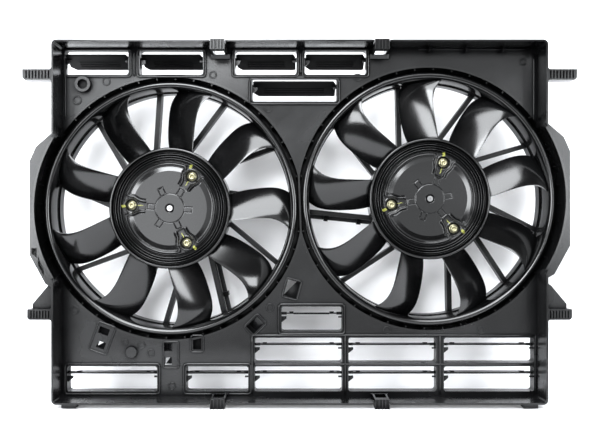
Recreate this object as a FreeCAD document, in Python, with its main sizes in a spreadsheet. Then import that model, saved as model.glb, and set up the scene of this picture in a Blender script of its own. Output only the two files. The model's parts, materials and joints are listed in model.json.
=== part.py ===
import FreeCAD, Part
import math
import os
import re

import Sketcher

# Radiator fan shroud with two ring fans and ram-air flaps.
#
# Frame: +X runs across the radiator, +Z is up and +Y points from the radiator to the engine. The
# origin lies in the rim plane, where the shroud meets the radiator, at the middle of the bottom edge.
# Every length is in millimetres and every angle in degrees.

V = FreeCAD.Vector
X_AXIS, Y_AXIS, Z_AXIS = V(1, 0, 0), V(0, 1, 0), V(0, 0, 1)

os.makedirs("parts", exist_ok=True)
doc = FreeCAD.newDocument("radiator_fan_shroud")

# ---------------------------------------------------------------------------------------------------
# Driving dimensions
# ---------------------------------------------------------------------------------------------------

SIZES = (
    # moulded panel: a tray whose rim seals on the radiator
    ("frame_width", 680), ("frame_height", 500), ("tray_depth", 40), ("floor_thick", 3),
    ("wall_thick", 2.6), ("tray_corner", 7),
    # fan axes
    ("left_fan_inset", 156.1), ("left_fan_z", 269.6), ("right_fan_inset", 155.3),
    ("right_fan_z", 283.1),
    # fan barrels
    ("barrel_bore", 187.5), ("barrel_wall", 3), ("barrel_depth", 34.5), ("exit_bore", 170),
    ("exit_wall", 2.5), ("exit_length", 15), ("step_thick", 2.5), ("flank_rise", 20),
    ("seal_rib_count", 44), ("seal_rib_reach", 3.4), ("seal_rib_thick", 1.4), ("partition", 2.4),
    # flank webs that carry the barrels outside the tray
    ("web_thick", 2.5), ("web_reach", 3),
    # fan moulding
    ("ring_bore", 171), ("ring_wall", 2.5), ("ring_front", 38), ("ring_rear", 70),
    ("lip_crest", 175.6), ("lip_radius", 181.3), ("lip_thick", 2.2),
    ("hub_radius", 86), ("hub_wall", 2.6), ("hub_front", 31), ("hub_rear", 66), ("hub_back", 41),
    ("shoulder", 19.6), ("centre_radius", 20.5), ("dish_margin", 3.7), ("dish_width", 10),
    ("dish_depth", 1.5), ("blade_count", 9), ("blade_thick", 3), ("blade_edge", 1.5),
    ("blade_camber", 0.09), ("blade_root", 7), ("blade_tip", 9),
    ("left_fan_turn", 55.5), ("right_fan_turn", 69),
    ("tab_start", 21.5), ("tab_length", 10.5), ("tab_width", 8.5), ("tab_rise", 0.7),
    # fan screws
    ("screw_inset", 11.7), ("screw_head", 6.6), ("screw_head_rise", 4), ("screw_radius", 3),
    ("screw_length", 12), ("screw_seat", 37), ("screw_pocket", 8.9), ("screw_gap", 0.1),
    # motor
    ("can_clear", 24), ("can_wall", 2.5), ("can_rear", 70), ("shaft_radius", 4),
    ("shaft_rear", 94), ("air_gap", 0.6), ("core_front", 48), ("core_rear", 67),
    ("core_bore", 18), ("slot_count", 12), ("slot_width", 7), ("slot_depth", 26),
    ("bearing_radius", 11), ("bearing_width", 7), ("running_fit", 0.05), ("seat_fit", 0.05),
    ("post_radius", 17.9), ("motor_radius", 70), ("motor_front", 74), ("flange_radius", 79.5),
    ("flange_thick", 4), ("cover_radius", 66), ("cover_depth", 15), ("fin_count", 12),
    ("fin_rise", 5), ("fin_thick", 2), ("motor_screw_circle", 76), ("motor_screw_radius", 2.4),
    ("motor_screw_head", 4.2), ("motor_screw_rise", 3), ("motor_screw_length", 14),
    # motor carriers
    ("carrier_front", 77), ("carrier_rear", 92), ("collar_bore", 71.5), ("collar_radius", 81),
    ("arm_width", 7), ("arm_lean", 15),
    # cables
    ("cable_radius", 3.5), ("cable_offset", 6.2), ("cable_depth", 100), ("clip_grip", 2),
    ("plug_width", 26), ("plug_length", 16), ("plug_stand_off", 5), ("gland_length", 16),
    # ram-air windows
    ("window_height", 35.5), ("window_corner", 3.5), ("frame_margin", 1.6), ("duct_depth", 12),
    ("lip_rise", 1.2), ("row_pitch", 38.5), ("centre_row_z", 94),
    ("upper_low_row_z", 49.5), ("lower_low_row_z", 8.7),
    ("side_gap", 3.2), ("top_outer_width", 91.5), ("top_inner_width", 89.9), ("top_gap", 16.5),
    ("top_centre_mid", 1.5), ("top_centre_width", 87.3), ("top_centre_gap", 12.2),
    ("second_left", -67.4), ("second_width", 120.4), ("centre_left", -25.7),
    ("centre_width", 86), ("low_right_width", 128.3), ("low_middle_width", 124.9),
    ("low_left_width", 124.4), ("low_right_gap", 11.1), ("low_left_gap", 9.5),
    ("corner_width", 128), ("corner_gap", 41.8), ("corner_inner_width", 88.2),
    # flaps
    ("pivot_drop", 11), ("pivot_back", 7), ("vane_thick", 2), ("vane_side_gap", 1),
    ("vane_edge_gap", 0.8), ("pin_radius", 2), ("vane_rib", 0.6), ("vane_rib_pitch", 5),
    ("vane_cut", 7), ("vane_corner", 2), ("snap_width", 6), ("snap_rise", 1.6), ("snap_inset", 10),
    ("top_tilt", 25), ("low_tilt", 8), ("gusset_reach", 7), ("gusset_drop", 9),
    ("gusset_thick", 2.4), ("stop_width", 5),
    # clips on the top and bottom walls
    ("clip_clear", 18.1), ("clip_width", 20), ("clip_height", 14.5), ("low_clip_height", 13),
    ("clip_depth", 12),
    ("clip_leg", 2.4), ("clip_slot", 4), ("clip_rib", 1.4), ("clip_stand_out", 1.2),
    ("clip_hole", 8.5),
    # side lugs
    ("lug_front", 18), ("lug_depth", 16), ("lug_height", 15), ("lug_reach", 47),
    ("lower_lug_reach", 40), ("upper_lug_drop", 44), ("lower_lug_z", 121), ("lug_flare", 9),
    ("lug_groove", 2), ("lug_rib", 2.2), ("gusset_web", 34),
    # small features on the floor
    ("boss_x", -308.3), ("boss_drop", 53.9), ("boss_radius", 11), ("boss_bore", 7.1),
    ("boss_rise", 6), ("stud_x", -239.5), ("stud_z", 64.7), ("stud_radius", 7.7),
    ("stud_rise", 4), ("foot_width", 20), ("foot_depth", 12),
    ("foot_drop", 4.4), ("wall_rib_thick", 2), ("pocket_wall", 1.5),
)

sheet = doc.addObject("Spreadsheet::Sheet", "sizes")
for row, (alias, value) in enumerate(SIZES, start=1):
    sheet.set(f"A{row}", alias)
    sheet.set(f"B{row}", str(value))
    sheet.setAlias(f"B{row}", alias)
doc.recompute()
ALIASES = {alias for alias, _ in SIZES}


def size(alias):
    """The number in one cell of the sheet."""
    return float(getattr(sheet, alias))


def formula(text):
    """A FreeCAD expression from one written with bare cell names."""
    return re.sub(r"[a-z_]+", lambda m: "sizes." + m[0] if m[0] in ALIASES else m[0], str(text))


def amount(text):
    """The number that a formula stands for."""
    return float(sheet.evalExpression(formula(text)))


# ---------------------------------------------------------------------------------------------------
# Helpers: each returns a document object whose sizes follow the sheet
# ---------------------------------------------------------------------------------------------------


def bind(thing, **values):
    """Bind properties to formulas; x, y and z stand for the placement's base."""
    for name, value in values.items():
        path = f"Placement.Base.{name}" if name in "xyz" else name
        thing.setExpression(path, formula(value))
    return thing


def box(name, x, y, z, across, deep, tall):
    """A block from its lowest corner and its sizes along X, Y and Z."""
    block = doc.addObject("Part::Box", name)
    return bind(block, x=x, y=y, z=z, Length=across, Width=deep, Height=tall)


def disc(name, x, y, z, radius, deep):
    """A cylinder along +Y from the middle of its front face."""
    rod = doc.addObject("Part::Cylinder", name)
    rod.Placement.Rotation = FreeCAD.Rotation(X_AXIS, -90)
    return bind(rod, x=x, y=y, z=z, Radius=radius, Height=deep)


def rod_x(name, x, y, z, radius, across):
    """A cylinder along +X from the middle of its left face."""
    rod = doc.addObject("Part::Cylinder", name)
    rod.Placement.Rotation = FreeCAD.Rotation(Y_AXIS, 90)
    return bind(rod, x=x, y=y, z=z, Radius=radius, Height=across)


def fuse(name, pieces):
    """One solid from several."""
    whole = doc.addObject("Part::MultiFuse", name)
    whole.Shapes = list(pieces)
    whole.Refine = True
    return whole


def cut(name, base, tools):
    """The base without the tools."""
    tool = tools[0] if len(tools) == 1 else fuse(name + "_tools", tools)
    result = doc.addObject("Part::Cut", name)
    result.Base, result.Tool, result.Refine = base, tool, True
    return result


def closed_sketch(sketch, points):
    """A closed outline in a sketch; each point is a pair of formulas.

    A distance from the origin is always positive, so one that points the negative way is measured
    from the corner to the origin.
    """
    places = [[float(sketch.evalExpression(formula(value))) for value in point] for point in points]
    for number, place in enumerate(places):
        after = places[(number + 1) % len(places)]
        sketch.addGeometry(Part.LineSegment(V(*place, 0), V(*after, 0)), False)
    for number, point in enumerate(points):
        before = (number - 1) % len(points)
        sketch.addConstraint(Sketcher.Constraint("Coincident", before, 2, number, 1))
        for kind, value, place in zip(("DistanceX", "DistanceY"), point, places[number]):
            if place < 0:
                limits, value = (number, 1, -1, 1), f"-({value})"
            else:
                limits = (-1, 1, number, 1)
            index = sketch.addConstraint(Sketcher.Constraint(kind, *limits, abs(place)))
            sketch.setExpression(f"Constraints[{index}]", formula(value))
    return sketch


def prism(name, points, front, deep):
    """A plate of the given outline in X and Z, from front to front + deep along Y."""
    sketch = closed_sketch(doc.addObject("Sketcher::SketchObject", name + "_sketch"), points)
    sketch.Placement.Rotation = FreeCAD.Rotation(X_AXIS, 90)
    bind(sketch, y=front)
    plate = doc.addObject("Part::Extrusion", name)
    plate.Base, plate.DirMode, plate.Dir, plate.Solid = sketch, "Custom", Y_AXIS, True
    return bind(plate, LengthFwd=deep)


def turned(name, points, angle="360", start=0.0):
    """A ring turned about Y from an outline in radius and depth, over an angle from a start."""
    sketch = closed_sketch(doc.addObject("Sketcher::SketchObject", name + "_sketch"), points)
    sketch.Placement.Rotation = FreeCAD.Rotation(-Y_AXIS, start)
    ring = doc.addObject("Part::Revolution", name)
    ring.Source, ring.Axis, ring.Base, ring.Solid = sketch, -Y_AXIS, V(0, 0, 0), True
    return bind(ring, Angle=angle)


def laid(name, piece, placement):
    """A piece made about the origin, held in a placement of its own."""
    holder = doc.addObject("Part::Compound", name)
    holder.Links = [piece]
    holder.Placement = placement
    return holder


def about_y(angle, base=V(0, 0, 0)):
    """The placement that turns about Y at a base; the angle counts from +X towards +Z."""
    return FreeCAD.Placement(base, FreeCAD.Rotation(-Y_AXIS, angle))


def spread(name, piece, count, start=0.0):
    """Copies of one piece, evenly spaced about the Y axis."""
    pitch = 360.0 / count
    return [laid(f"{name}_{i + 1}", piece, about_y(start + pitch * i)) for i in range(count)]


def rounded(name, base, radius, chosen):
    """The base with the chosen edges rounded."""
    doc.recompute()
    soft = doc.addObject("Part::Fillet", name)
    soft.Base = base
    edges = base.Shape.Edges
    soft.Edges = [(i + 1, radius, radius) for i, edge in enumerate(edges) if chosen(edge)]
    return soft


def along_y(edge):
    """True for a straight edge that runs along Y."""
    if edge.Curve.TypeId != "Part::GeomLine":
        return False
    return abs(abs(edge.Curve.Direction.y) - 1) < 1e-6


def move(thing, x, z):
    """Put a piece made about the origin on the axis at x, z; both are formulas."""
    return bind(thing, x=x, z=z)


nodes = {}


def keep(name, thing):
    """Make a finished thing a sub-part: its label is its node's and its file's name."""
    thing.Label = name
    nodes[name] = thing
    return thing


LEFT_FAN_X = "(-frame_width / 2 + left_fan_inset)"
RIGHT_FAN_X = "(frame_width / 2 - right_fan_inset)"
SIDES = (("left", LEFT_FAN_X, "left_fan_z", -1), ("right", RIGHT_FAN_X, "right_fan_z", 1))
BARREL_OUTER = "barrel_bore + barrel_wall"
FLOOR_REAR = "tray_depth + floor_thick"

# ---------------------------------------------------------------------------------------------------
# Ram-air windows: name, left edge, width, bottom edge and rest tilt of the flap
# ---------------------------------------------------------------------------------------------------

TRAY_LEFT = "-frame_width / 2 + wall_thick"
TOP_OUTER = f"{TRAY_LEFT} + frame_margin"
TOP_INNER = f"{TOP_OUTER} + top_outer_width + top_gap"
TOP_CENTRE_LEFT = "top_centre_mid - top_centre_gap / 2 - top_centre_width"
TOP_CENTRE_RIGHT = "top_centre_mid + top_centre_gap / 2"
TOP_ROW = "(frame_height - wall_thick - frame_margin - window_height)"
SECOND_ROW = f"({TOP_ROW} - row_pitch)"
LOW_RIGHT = "frame_width / 2 - wall_thick - side_gap - low_right_width"
LOW_MIDDLE = f"{LOW_RIGHT} - low_right_gap - low_middle_width"
LOW_LEFT = f"{LOW_MIDDLE} - low_left_gap - low_left_width"
CORNER = f"{TRAY_LEFT} + side_gap + 3"
CORNER_INNER = f"{CORNER} + corner_width + corner_gap"

WINDOWS = {
    "top_outer": (TOP_OUTER, "top_outer_width", TOP_ROW, "top_tilt"),
    "top_inner": (TOP_INNER, "top_inner_width", TOP_ROW, "top_tilt"),
    "top_centre_left": (TOP_CENTRE_LEFT, "top_centre_width", TOP_ROW, "top_tilt"),
    "top_centre_right": (TOP_CENTRE_RIGHT, "top_centre_width", TOP_ROW, "top_tilt"),
    "second_row": ("second_left", "second_width", SECOND_ROW, "top_tilt"),
    "centre": ("centre_left", "centre_width", "centre_row_z", "low_tilt"),
    "upper_low_left": (LOW_LEFT, "low_left_width", "upper_low_row_z", "low_tilt"),
    "upper_low_middle": (LOW_MIDDLE, "low_middle_width", "upper_low_row_z", "low_tilt"),
    "upper_low_right": (LOW_RIGHT, "low_right_width", "upper_low_row_z", "low_tilt"),
    "lower_low_left": (LOW_LEFT, "low_left_width", "lower_low_row_z", "low_tilt"),
    "lower_low_middle": (LOW_MIDDLE, "low_middle_width", "lower_low_row_z", "low_tilt"),
    "lower_low_right": (LOW_RIGHT, "low_right_width", "lower_low_row_z", "low_tilt"),
    "corner_outer": (CORNER, "corner_width", "lower_low_row_z", "low_tilt"),
    "corner_inner": (CORNER_INNER, "corner_inner_width", "lower_low_row_z", "low_tilt"),
}

# A vent frame fills one rectangular field of the floor, or two that join. A field lists its
# windows, with the lowest one at the left first and the highest one at the right last.
VENT_FRAMES = {
    "upper_left_vent_frame": (("top_outer", "top_inner"),),
    "upper_centre_vent_frame": (("top_centre_left", "top_centre_right"), ("second_row",)),
    "centre_vent_frame": (("centre",),),
    "lower_right_vent_frame": (("lower_low_left", "lower_low_middle", "lower_low_right",
                                "upper_low_left", "upper_low_middle", "upper_low_right"),),
    "lower_left_vent_frame": (("corner_outer", "corner_inner"),),
}


# Between the two barrels and the second row, the floor is cut off from the rest of the panel and
# belongs to the vent frame above it.
MIDDLE_FRAME = "upper_centre_vent_frame"


def middle_floor(name, front, deep):
    """The block that holds the piece of floor between the barrels, under the second row."""
    return box(name, "second_left - frame_margin", front, f"{SECOND_ROW} - 110",
               "second_width + 2 * frame_margin", deep, "110")


def field_box(name, field, front, deep):
    """The block that a field takes between two depths, its margin included."""
    left, _, bottom, _ = WINDOWS[field[0]]
    right_left, right_width, top_bottom, _ = WINDOWS[field[-1]]
    across = f"({right_left}) + {right_width} - ({left}) + 2 * frame_margin"
    tall = f"{top_bottom} + window_height - {bottom} + 2 * frame_margin"
    return box(name, f"{left} - frame_margin", front, f"{bottom} - frame_margin", across, deep, tall)


def window_hole(name):
    """The rounded opening of a window, through the floor and its duct."""
    left, width, bottom, _ = WINDOWS[name]
    front, deep = "tray_depth - lip_rise - 1", "lip_rise + floor_thick + duct_depth + 2"
    block = box(name + "_hole_block", left, front, bottom, width, deep, "window_height")
    return rounded(name + "_hole", block, size("window_corner"), along_y)


def window_duct(name):
    """The short duct behind a window with the raised lip in front, still solid."""
    left, width, bottom, _ = WINDOWS[name]
    front, deep = "tray_depth - lip_rise", "lip_rise + floor_thick + duct_depth"
    across, tall = f"{width} + 2 * frame_margin", "window_height + 2 * frame_margin"
    x, z = f"{left} - frame_margin", f"{bottom} - frame_margin"
    block = box(name + "_duct_block", x, front, z, across, deep, tall)
    return rounded(name + "_duct", block, size("window_corner") + size("frame_margin"), along_y)


def pivot_bore(name):
    """The bore through both side walls of the duct that carries the flap's pins."""
    left, width, bottom, _ = WINDOWS[name]
    y, z = f"{FLOOR_REAR} + pivot_back", f"{bottom} + window_height - pivot_drop"
    across = f"{width} + 2 * frame_margin + 2"
    return rod_x(name + "_bore", f"{left} - frame_margin - 1", y, z, "pin_radius + running_fit", across)


def flap_stops(name):
    """The gusset at the left of a window and the small block at its right, below the pivot."""
    left, width, bottom, _ = WINDOWS[name]
    top = f"{bottom} + window_height - pivot_drop - pin_radius - 1.5"
    corners = [(f"{left} - 0.5", top), (f"{left} + gusset_reach", top),
               (f"{left} + gusset_reach", f"{top} - gusset_drop / 3"),
               (f"{left} - 0.5", f"{top} - gusset_drop")]
    gusset = prism(name + "_gusset", corners, FLOOR_REAR, "gusset_thick")
    right = f"{left} + {width} - stop_width"
    stop = box(name + "_stop", right, FLOOR_REAR, f"{top} - vane_thick", "stop_width + 0.5",
               "gusset_thick", "vane_thick")
    return [gusset, stop]


def vent_frame(name, fields):
    """A group of windows with their ducts, flap stops and pivot bores."""
    plates, ducts, holes, bores, stops = [], [], [], [], []
    for field in fields:
        plates.append(field_box(f"{name}_{field[0]}_plate", field, "tray_depth", "floor_thick"))
        for window in field:
            ducts.append(window_duct(window))
            holes.append(window_hole(window))
            bores.append(pivot_bore(window))
            stops.extend(flap_stops(window))
    if name == MIDDLE_FRAME:
        plates.append(middle_floor(name + "_middle", "tray_depth", "floor_thick"))
    solid = fuse(name + "_solid", plates + ducts)
    reach = "duct_depth + floor_thick + 10"
    barrels = [disc(f"{name}_{side}_barrel", x, "tray_depth - 5", z, BARREL_OUTER, reach)
               for side, x, z, _ in SIDES]
    open_frame = cut(name + "_open", solid, holes + barrels)
    return cut(name + "_whole", fuse(name + "_stopped", [open_frame] + stops), bores)


for frame_name, frame_fields in VENT_FRAMES.items():
    keep(frame_name, vent_frame(frame_name, frame_fields))


# ---------------------------------------------------------------------------------------------------
# Flaps: each is made about its pivot axis, then tilted and put in its window
# ---------------------------------------------------------------------------------------------------


def flap(name):
    """A vane on two pins, with ribs along it and two snap bumps; it is open at rest."""
    left, width, bottom, tilt = WINDOWS[name]
    across = f"{width} - 2 * vane_side_gap"
    above, below = "pivot_drop - vane_edge_gap", "window_height - pivot_drop - vane_edge_gap"
    ends = [("0", f"-({below}) + vane_cut"), ("vane_cut", f"-({below})"),
            (f"{across} - vane_corner", f"-({below})"), (across, f"-({below}) + vane_corner"),
            (across, f"{above} - vane_cut"), (f"{across} - vane_cut / 2", above),
            ("vane_corner", above), ("0", f"{above} - vane_corner")]
    vane = prism(name + "_vane", ends, "-vane_thick / 2", "vane_thick")
    pins = [rod_x(name + "_left_pin", "-vane_side_gap - frame_margin + 0.3", "0", "0", "pin_radius",
                  "vane_side_gap + frame_margin + 6"),
            rod_x(name + "_right_pin", f"{across} - 6", "0", "0", "pin_radius",
                  "vane_side_gap + frame_margin + 5.7")]
    ribs = [box(f"{name}_rib_{i}", "snap_inset + snap_width", "-vane_thick / 2 - vane_rib",
                f"-vane_rib_pitch * {i} - 1", f"{across} - 2 * (snap_inset + snap_width)",
                "vane_rib", "1") for i in range(1, 4)]
    bumps = [box(name + "_left_bump", "snap_inset", "vane_thick / 2", "-snap_width / 2",
                 "snap_width", "snap_rise", "snap_width"),
             box(name + "_right_bump", f"{across} - snap_inset - snap_width", "vane_thick / 2",
                 "-snap_width / 2", "snap_width", "snap_rise", "snap_width")]
    whole = fuse(name + "_flap_solid", [vane] + pins + ribs + bumps)
    whole.Placement.Rotation = FreeCAD.Rotation(X_AXIS, 90 - size(tilt))
    return bind(whole, x=f"{left} + vane_side_gap", y=f"{FLOOR_REAR} + pivot_back",
                z=f"{bottom} + window_height - pivot_drop")


for window_name in WINDOWS:
    keep(window_name + "_flap", flap(window_name))

# ---------------------------------------------------------------------------------------------------
# Panel: tray with clips, lugs, flank webs and the small features of its floor
# ---------------------------------------------------------------------------------------------------


def tray():
    """The floor and the four walls, with the corners rounded, before anything is cut."""
    block = box("tray_block", "-frame_width / 2", "0", "0", "frame_width", FLOOR_REAR, "frame_height")
    outer = rounded("tray_outer", block, size("tray_corner"), along_y)
    hollow = box("tray_hollow_block", TRAY_LEFT, "-1", "wall_thick",
                 "frame_width - 2 * wall_thick", "tray_depth + 1", "frame_height - 2 * wall_thick")
    inner = rounded("tray_hollow", hollow, size("tray_corner") - size("wall_thick"), along_y)
    return cut("tray", outer, [inner])


# The lower clips end just below the vent frames behind them.
LOW_CLIP_TOP = "lower_low_row_z - frame_margin - 0.3"


def clip(name, x, top):
    """A ribbed clip head on two legs in a slot of the top or bottom wall."""
    left = f"{x} - clip_width / 2"
    tall = "clip_height" if top else "low_clip_height"
    z = "frame_height + clip_stand_out - clip_height" if top else f"{LOW_CLIP_TOP} - low_clip_height"
    head = box(name + "_head", left, "clip_rib", z, "clip_width", "clip_depth - clip_rib", tall)
    legs = [box(f"{name}_leg_{i}", f"{left} + {i} * (clip_width - clip_leg)", "clip_depth", z,
                "clip_leg", f"{FLOOR_REAR} - clip_depth", tall) for i in (0, 1)]
    ribs = [box(f"{name}_rib_{i}", f"{left} + {i} * (clip_width - clip_rib) / 4", "0", z,
                "clip_rib", "clip_rib", tall) for i in range(5)]
    return [head] + legs + ribs


def clip_gap(name, x, top):
    """The slot in the wall round a clip and, at the top, the hole in the floor behind its head."""
    left = f"{x} - clip_width / 2"
    z = "frame_height - wall_thick - 1" if top else "-1"
    slot = box(name + "_slot", f"{left} - clip_slot", "-1", z, "clip_width + 2 * clip_slot",
               "tray_depth * 0.6 + 1", "wall_thick + 2")
    if not top:
        return [slot]
    hole = box(name + "_hole", f"{left} + clip_leg", "clip_depth",
               "frame_height - wall_thick - clip_hole", "clip_width - 2 * clip_leg", "60", "clip_hole")
    return [slot, hole]


CLIP_X = f"({TOP_CENTRE_RIGHT} + top_centre_width + clip_clear)"
CLIPS = [(f"{level}_{side}_clip", f"{sign} * {CLIP_X}", level == "top")
         for level in ("top", "bottom") for side, sign in (("left", -1), ("right", 1))]


def lug(name, sign, middle, reach, count):
    """A side lug: a bar with a flared root and upright grooves in its front."""
    wall = f"{sign} * (frame_width / 2 - wall_thick / 2)"
    tip = f"{sign} * (frame_width / 2 + {reach})"
    flare = f"{sign} * (frame_width / 2 + lug_flare)"
    half = "lug_height / 2"
    outline = [(wall, f"{middle} - {half} - lug_flare * 0.7"), (flare, f"{middle} - {half}"),
               (f"{tip} - {sign} * 3", f"{middle} - {half}"), (tip, f"{middle} - {half} + 3"),
               (tip, f"{middle} + {half}"), (flare, f"{middle} + {half}"),
               (wall, f"{middle} + {half} + lug_flare")]
    bar = prism(name + "_bar", outline, "lug_front", "lug_depth")
    pitch = f"({reach} - lug_flare - lug_rib) / {count}"
    grooves = []
    for i in range(count):
        near = f"frame_width / 2 + lug_flare + {i} * {pitch}"
        x = near if sign > 0 else f"-({near}) - {pitch} + lug_rib"
        grooves.append(box(f"{name}_groove_{i}", x, "lug_front - 1", f"{middle} - {half} + 2",
                           f"{pitch} - lug_rib", "lug_groove + 1", "lug_height - 4"))
    return cut(name, bar, grooves)


def lug_web(name, sign):
    """The three-cornered web above a lower lug."""
    wall = f"{sign} * (frame_width / 2 - wall_thick / 2)"
    shelf = "lower_lug_z + lug_height / 2 - 1"
    outline = [(wall, shelf), (f"{sign} * (frame_width / 2 + gusset_web)", shelf),
               (f"{sign} * (frame_width / 2 + gusset_web)", f"{shelf} + 8"),
               (f"{sign} * (frame_width / 2 + 12)", f"{shelf} + gusset_web"),
               (wall, f"{shelf} + gusset_web + 8")]
    return prism(name, outline, "lug_front + 4", "web_thick")


def flank_web(side, x, z, sign):
    """The web outside the tray round a barrel: a flange with a wall along its straight edges."""
    edge = f"{x} + {sign} * ({BARREL_OUTER} + web_reach)"
    wall = f"{sign} * (frame_width / 2 - wall_thick / 2)"
    knee = f"{edge} - {sign} * 9"
    outline = [(wall, f"{z} - 116"), (f"{knee} - {sign} * 13", f"{z} - 106"),
               (edge, f"{z} - 66"), (edge, f"{z} + 66"), (knee, f"{z} + 86"),
               (wall, f"{z} + 112")]
    body = prism(side + "_web_body", outline, "tray_depth - flank_rise", "floor_thick + flank_rise")
    inset = [(f"{wall} + {sign} * web_thick", f"{z} - 111"),
             (f"{knee} - {sign} * 14.5", f"{z} - 102.5"), (f"{edge} - {sign} * web_thick", f"{z} - 65"),
             (f"{edge} - {sign} * web_thick", f"{z} + 65"), (f"{knee} - {sign} * 2", f"{z} + 83.5"),
             (f"{wall} + {sign} * web_thick", f"{z} + 107")]
    hollow = prism(side + "_web_hollow", inset, "tray_depth - flank_rise + web_thick", "60")
    return cut(side + "_web", body, [hollow] + web_windows(side, edge, z, sign))


def web_windows(side, edge, z, sign):
    """The square and the three-cornered window in the lower part of the left web."""
    if side == "right":
        return []
    near, far = f"{edge} - {sign} * web_thick", f"{edge} - {sign} * 10"
    square = [(near, f"{z} - 56"), (far, f"{z} - 56"), (far, f"{z} - 70"), (near, f"{z} - 64.5")]
    outer, inner = f"{edge} - {sign} * 11.5", f"{edge} - {sign} * 20"
    triangle = [(outer, f"{z} - 66"), (inner, f"{z} - 87"), (inner, f"{z} - 95"), (outer, f"{z} - 80")]
    return [prism(f"{side}_{name}", outline, "tray_depth - flank_rise - 1", "60")
            for name, outline in (("web_square", square), ("web_triangle", triangle))]


BOSS_Z = "frame_height - boss_drop"

# Cut-outs of the floor: name, middle in X and Z, size across and up, turn, how deep the pocket
# behind it is, and whether one corner of the pocket is open at the back.
CUT_OUTS = (("sensor_slot", -279.2, 94.4, 15, 10, -20, 7, False),
            ("lock_slot", -283.5, 74.4, 12, 10, -20, 6, True),
            ("upper_hook", -187.4, 71.6, 12, 11.4, 0, 7, False),
            ("lower_hook", -187.8, 51, 11, 11.4, 0, 6, True),
            ("guide_slot", -146.2, 76.4, 12, 17, 0, 9, False),
            ("strap_slot", -63.2, 103.3, 22, 15, 45, 8, False),
            ("cable_window", -10.8, 154.4, 18, 24, -15, 8, True))
RAMPED = ("upper_hook", "strap_slot")


def floor_pocket(name, x, z, across, tall, turn, deep, corner):
    """A cut-out of the floor and the box behind it, both turned about the cut-out's own middle."""
    rear = f"floor_thick + {deep}"
    cavity = box(name + "_cavity", -across / 2, "tray_depth - 5", -tall / 2, across, f"{rear} + 5", tall)
    shell = box(name + "_shell", f"{-across / 2} - pocket_wall", "tray_depth + 1",
                f"{-tall / 2} - pocket_wall", f"{across} + 2 * pocket_wall", f"{rear} - 1 + pocket_wall",
                f"{tall} + 2 * pocket_wall")
    if corner:
        outline = [(-across / 2, tall / 2), (-across / 2, -tall / 2), (across / 4, tall / 2)]
        way_out = prism(name + "_way_out", outline, "tray_depth", f"{rear} + 5")
        cavity = fuse(name + "_cuts", [cavity, way_out])
    place = about_y(turn, V(x, 0, z))
    return laid(name + "_outside", shell, place), laid(name + "_inside", cavity, place)


def ramp(name, x, z, across, tall, turn, deep, _):
    """The sloping bottom of a pocket, from its back at one end to the floor at the other."""
    wedge = doc.addObject("Part::Wedge", name + "_wedge")
    low, high, right = -tall / 2 - 0.5, tall / 2 + 0.5, across / 2 + 0.5
    bind(wedge, Xmin=right - 2, Xmax=right, X2min=3 - across / 2, X2max=right, Zmin=low, Zmax=high,
         Z2min=low, Z2max=high, Ymin="tray_depth + 1", Ymax=f"{FLOOR_REAR} + {deep} + 0.5")
    return laid(name + "_ramp", wedge, about_y(turn, V(x, 0, z)))


def panel():
    """The whole moulded panel without the vent frames and the barrels."""
    adds, cuts = [], []
    for name, x, top in CLIPS:
        cuts.extend(clip_gap(name, x, top))
    for side, x, z, sign in SIDES:
        cuts.append(disc(side + "_fan_hole", x, "tray_depth - flank_rise", z, BARREL_OUTER, "60"))
        cuts.append(disc(side + "_wall_gap", x, "-2", z, "barrel_bore - 3.5", "tray_depth - 2"))
        adds.append(lug(f"upper_{side}_lug", sign, "(frame_height - upper_lug_drop)", "lug_reach", 8))
        adds.append(lug(f"lower_{side}_lug", sign, "lower_lug_z", "lower_lug_reach", 7))
        adds.append(lug_web(f"{side}_lug_web", sign))
        adds.append(flank_web(side, x, z, sign))
        foot_x = f"{sign} * (frame_width / 2 - foot_width - 4) - foot_width / 2"
        adds.append(box(side + "_foot", foot_x, "0", "-foot_drop", "foot_width", "foot_depth",
                        "foot_drop + 1"))
    cuts.append(disc("boss_bore_cut", "boss_x", "tray_depth - boss_rise - 1", BOSS_Z, "boss_bore",
                     "boss_rise + 1"))
    adds.append(disc("boss", "boss_x", "tray_depth - boss_rise", BOSS_Z, "boss_radius", "boss_rise + 1"))
    adds.append(disc("stud", "stud_x", "tray_depth - stud_rise", "stud_z", "stud_radius", "stud_rise + 1"))
    pockets = [floor_pocket(*values) for values in CUT_OUTS]
    adds.extend(outside for outside, _ in pockets)
    cuts.extend(inside for _, inside in pockets)
    for i in range(3):
        adds.append(box(f"wall_rib_{i}", f"{RIGHT_FAN_X} - 2 + {i} * 52", "tray_depth - 12",
                        "frame_height - wall_thick - 6", "wall_rib_thick", "13", "7"))
    for frame, fields in VENT_FRAMES.items():
        for field in fields:
            cuts.append(field_box(f"{frame}_{field[0]}_gap", field, "tray_depth - 5", "20"))
    cuts.append(middle_floor("middle_gap", "tray_depth - 5", "20"))
    solid = cut("panel_cut", fuse("panel_solid", [tray()] + adds), cuts)
    heads = [piece for name, x, top in CLIPS for piece in clip(name, x, top)]
    ramps = [ramp(*values) for values in CUT_OUTS if values[0] in RAMPED]
    return fuse("panel_whole", [solid] + ramps + heads)


keep("shroud_panel", panel())

# ---------------------------------------------------------------------------------------------------
# Fan barrels
# ---------------------------------------------------------------------------------------------------


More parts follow.
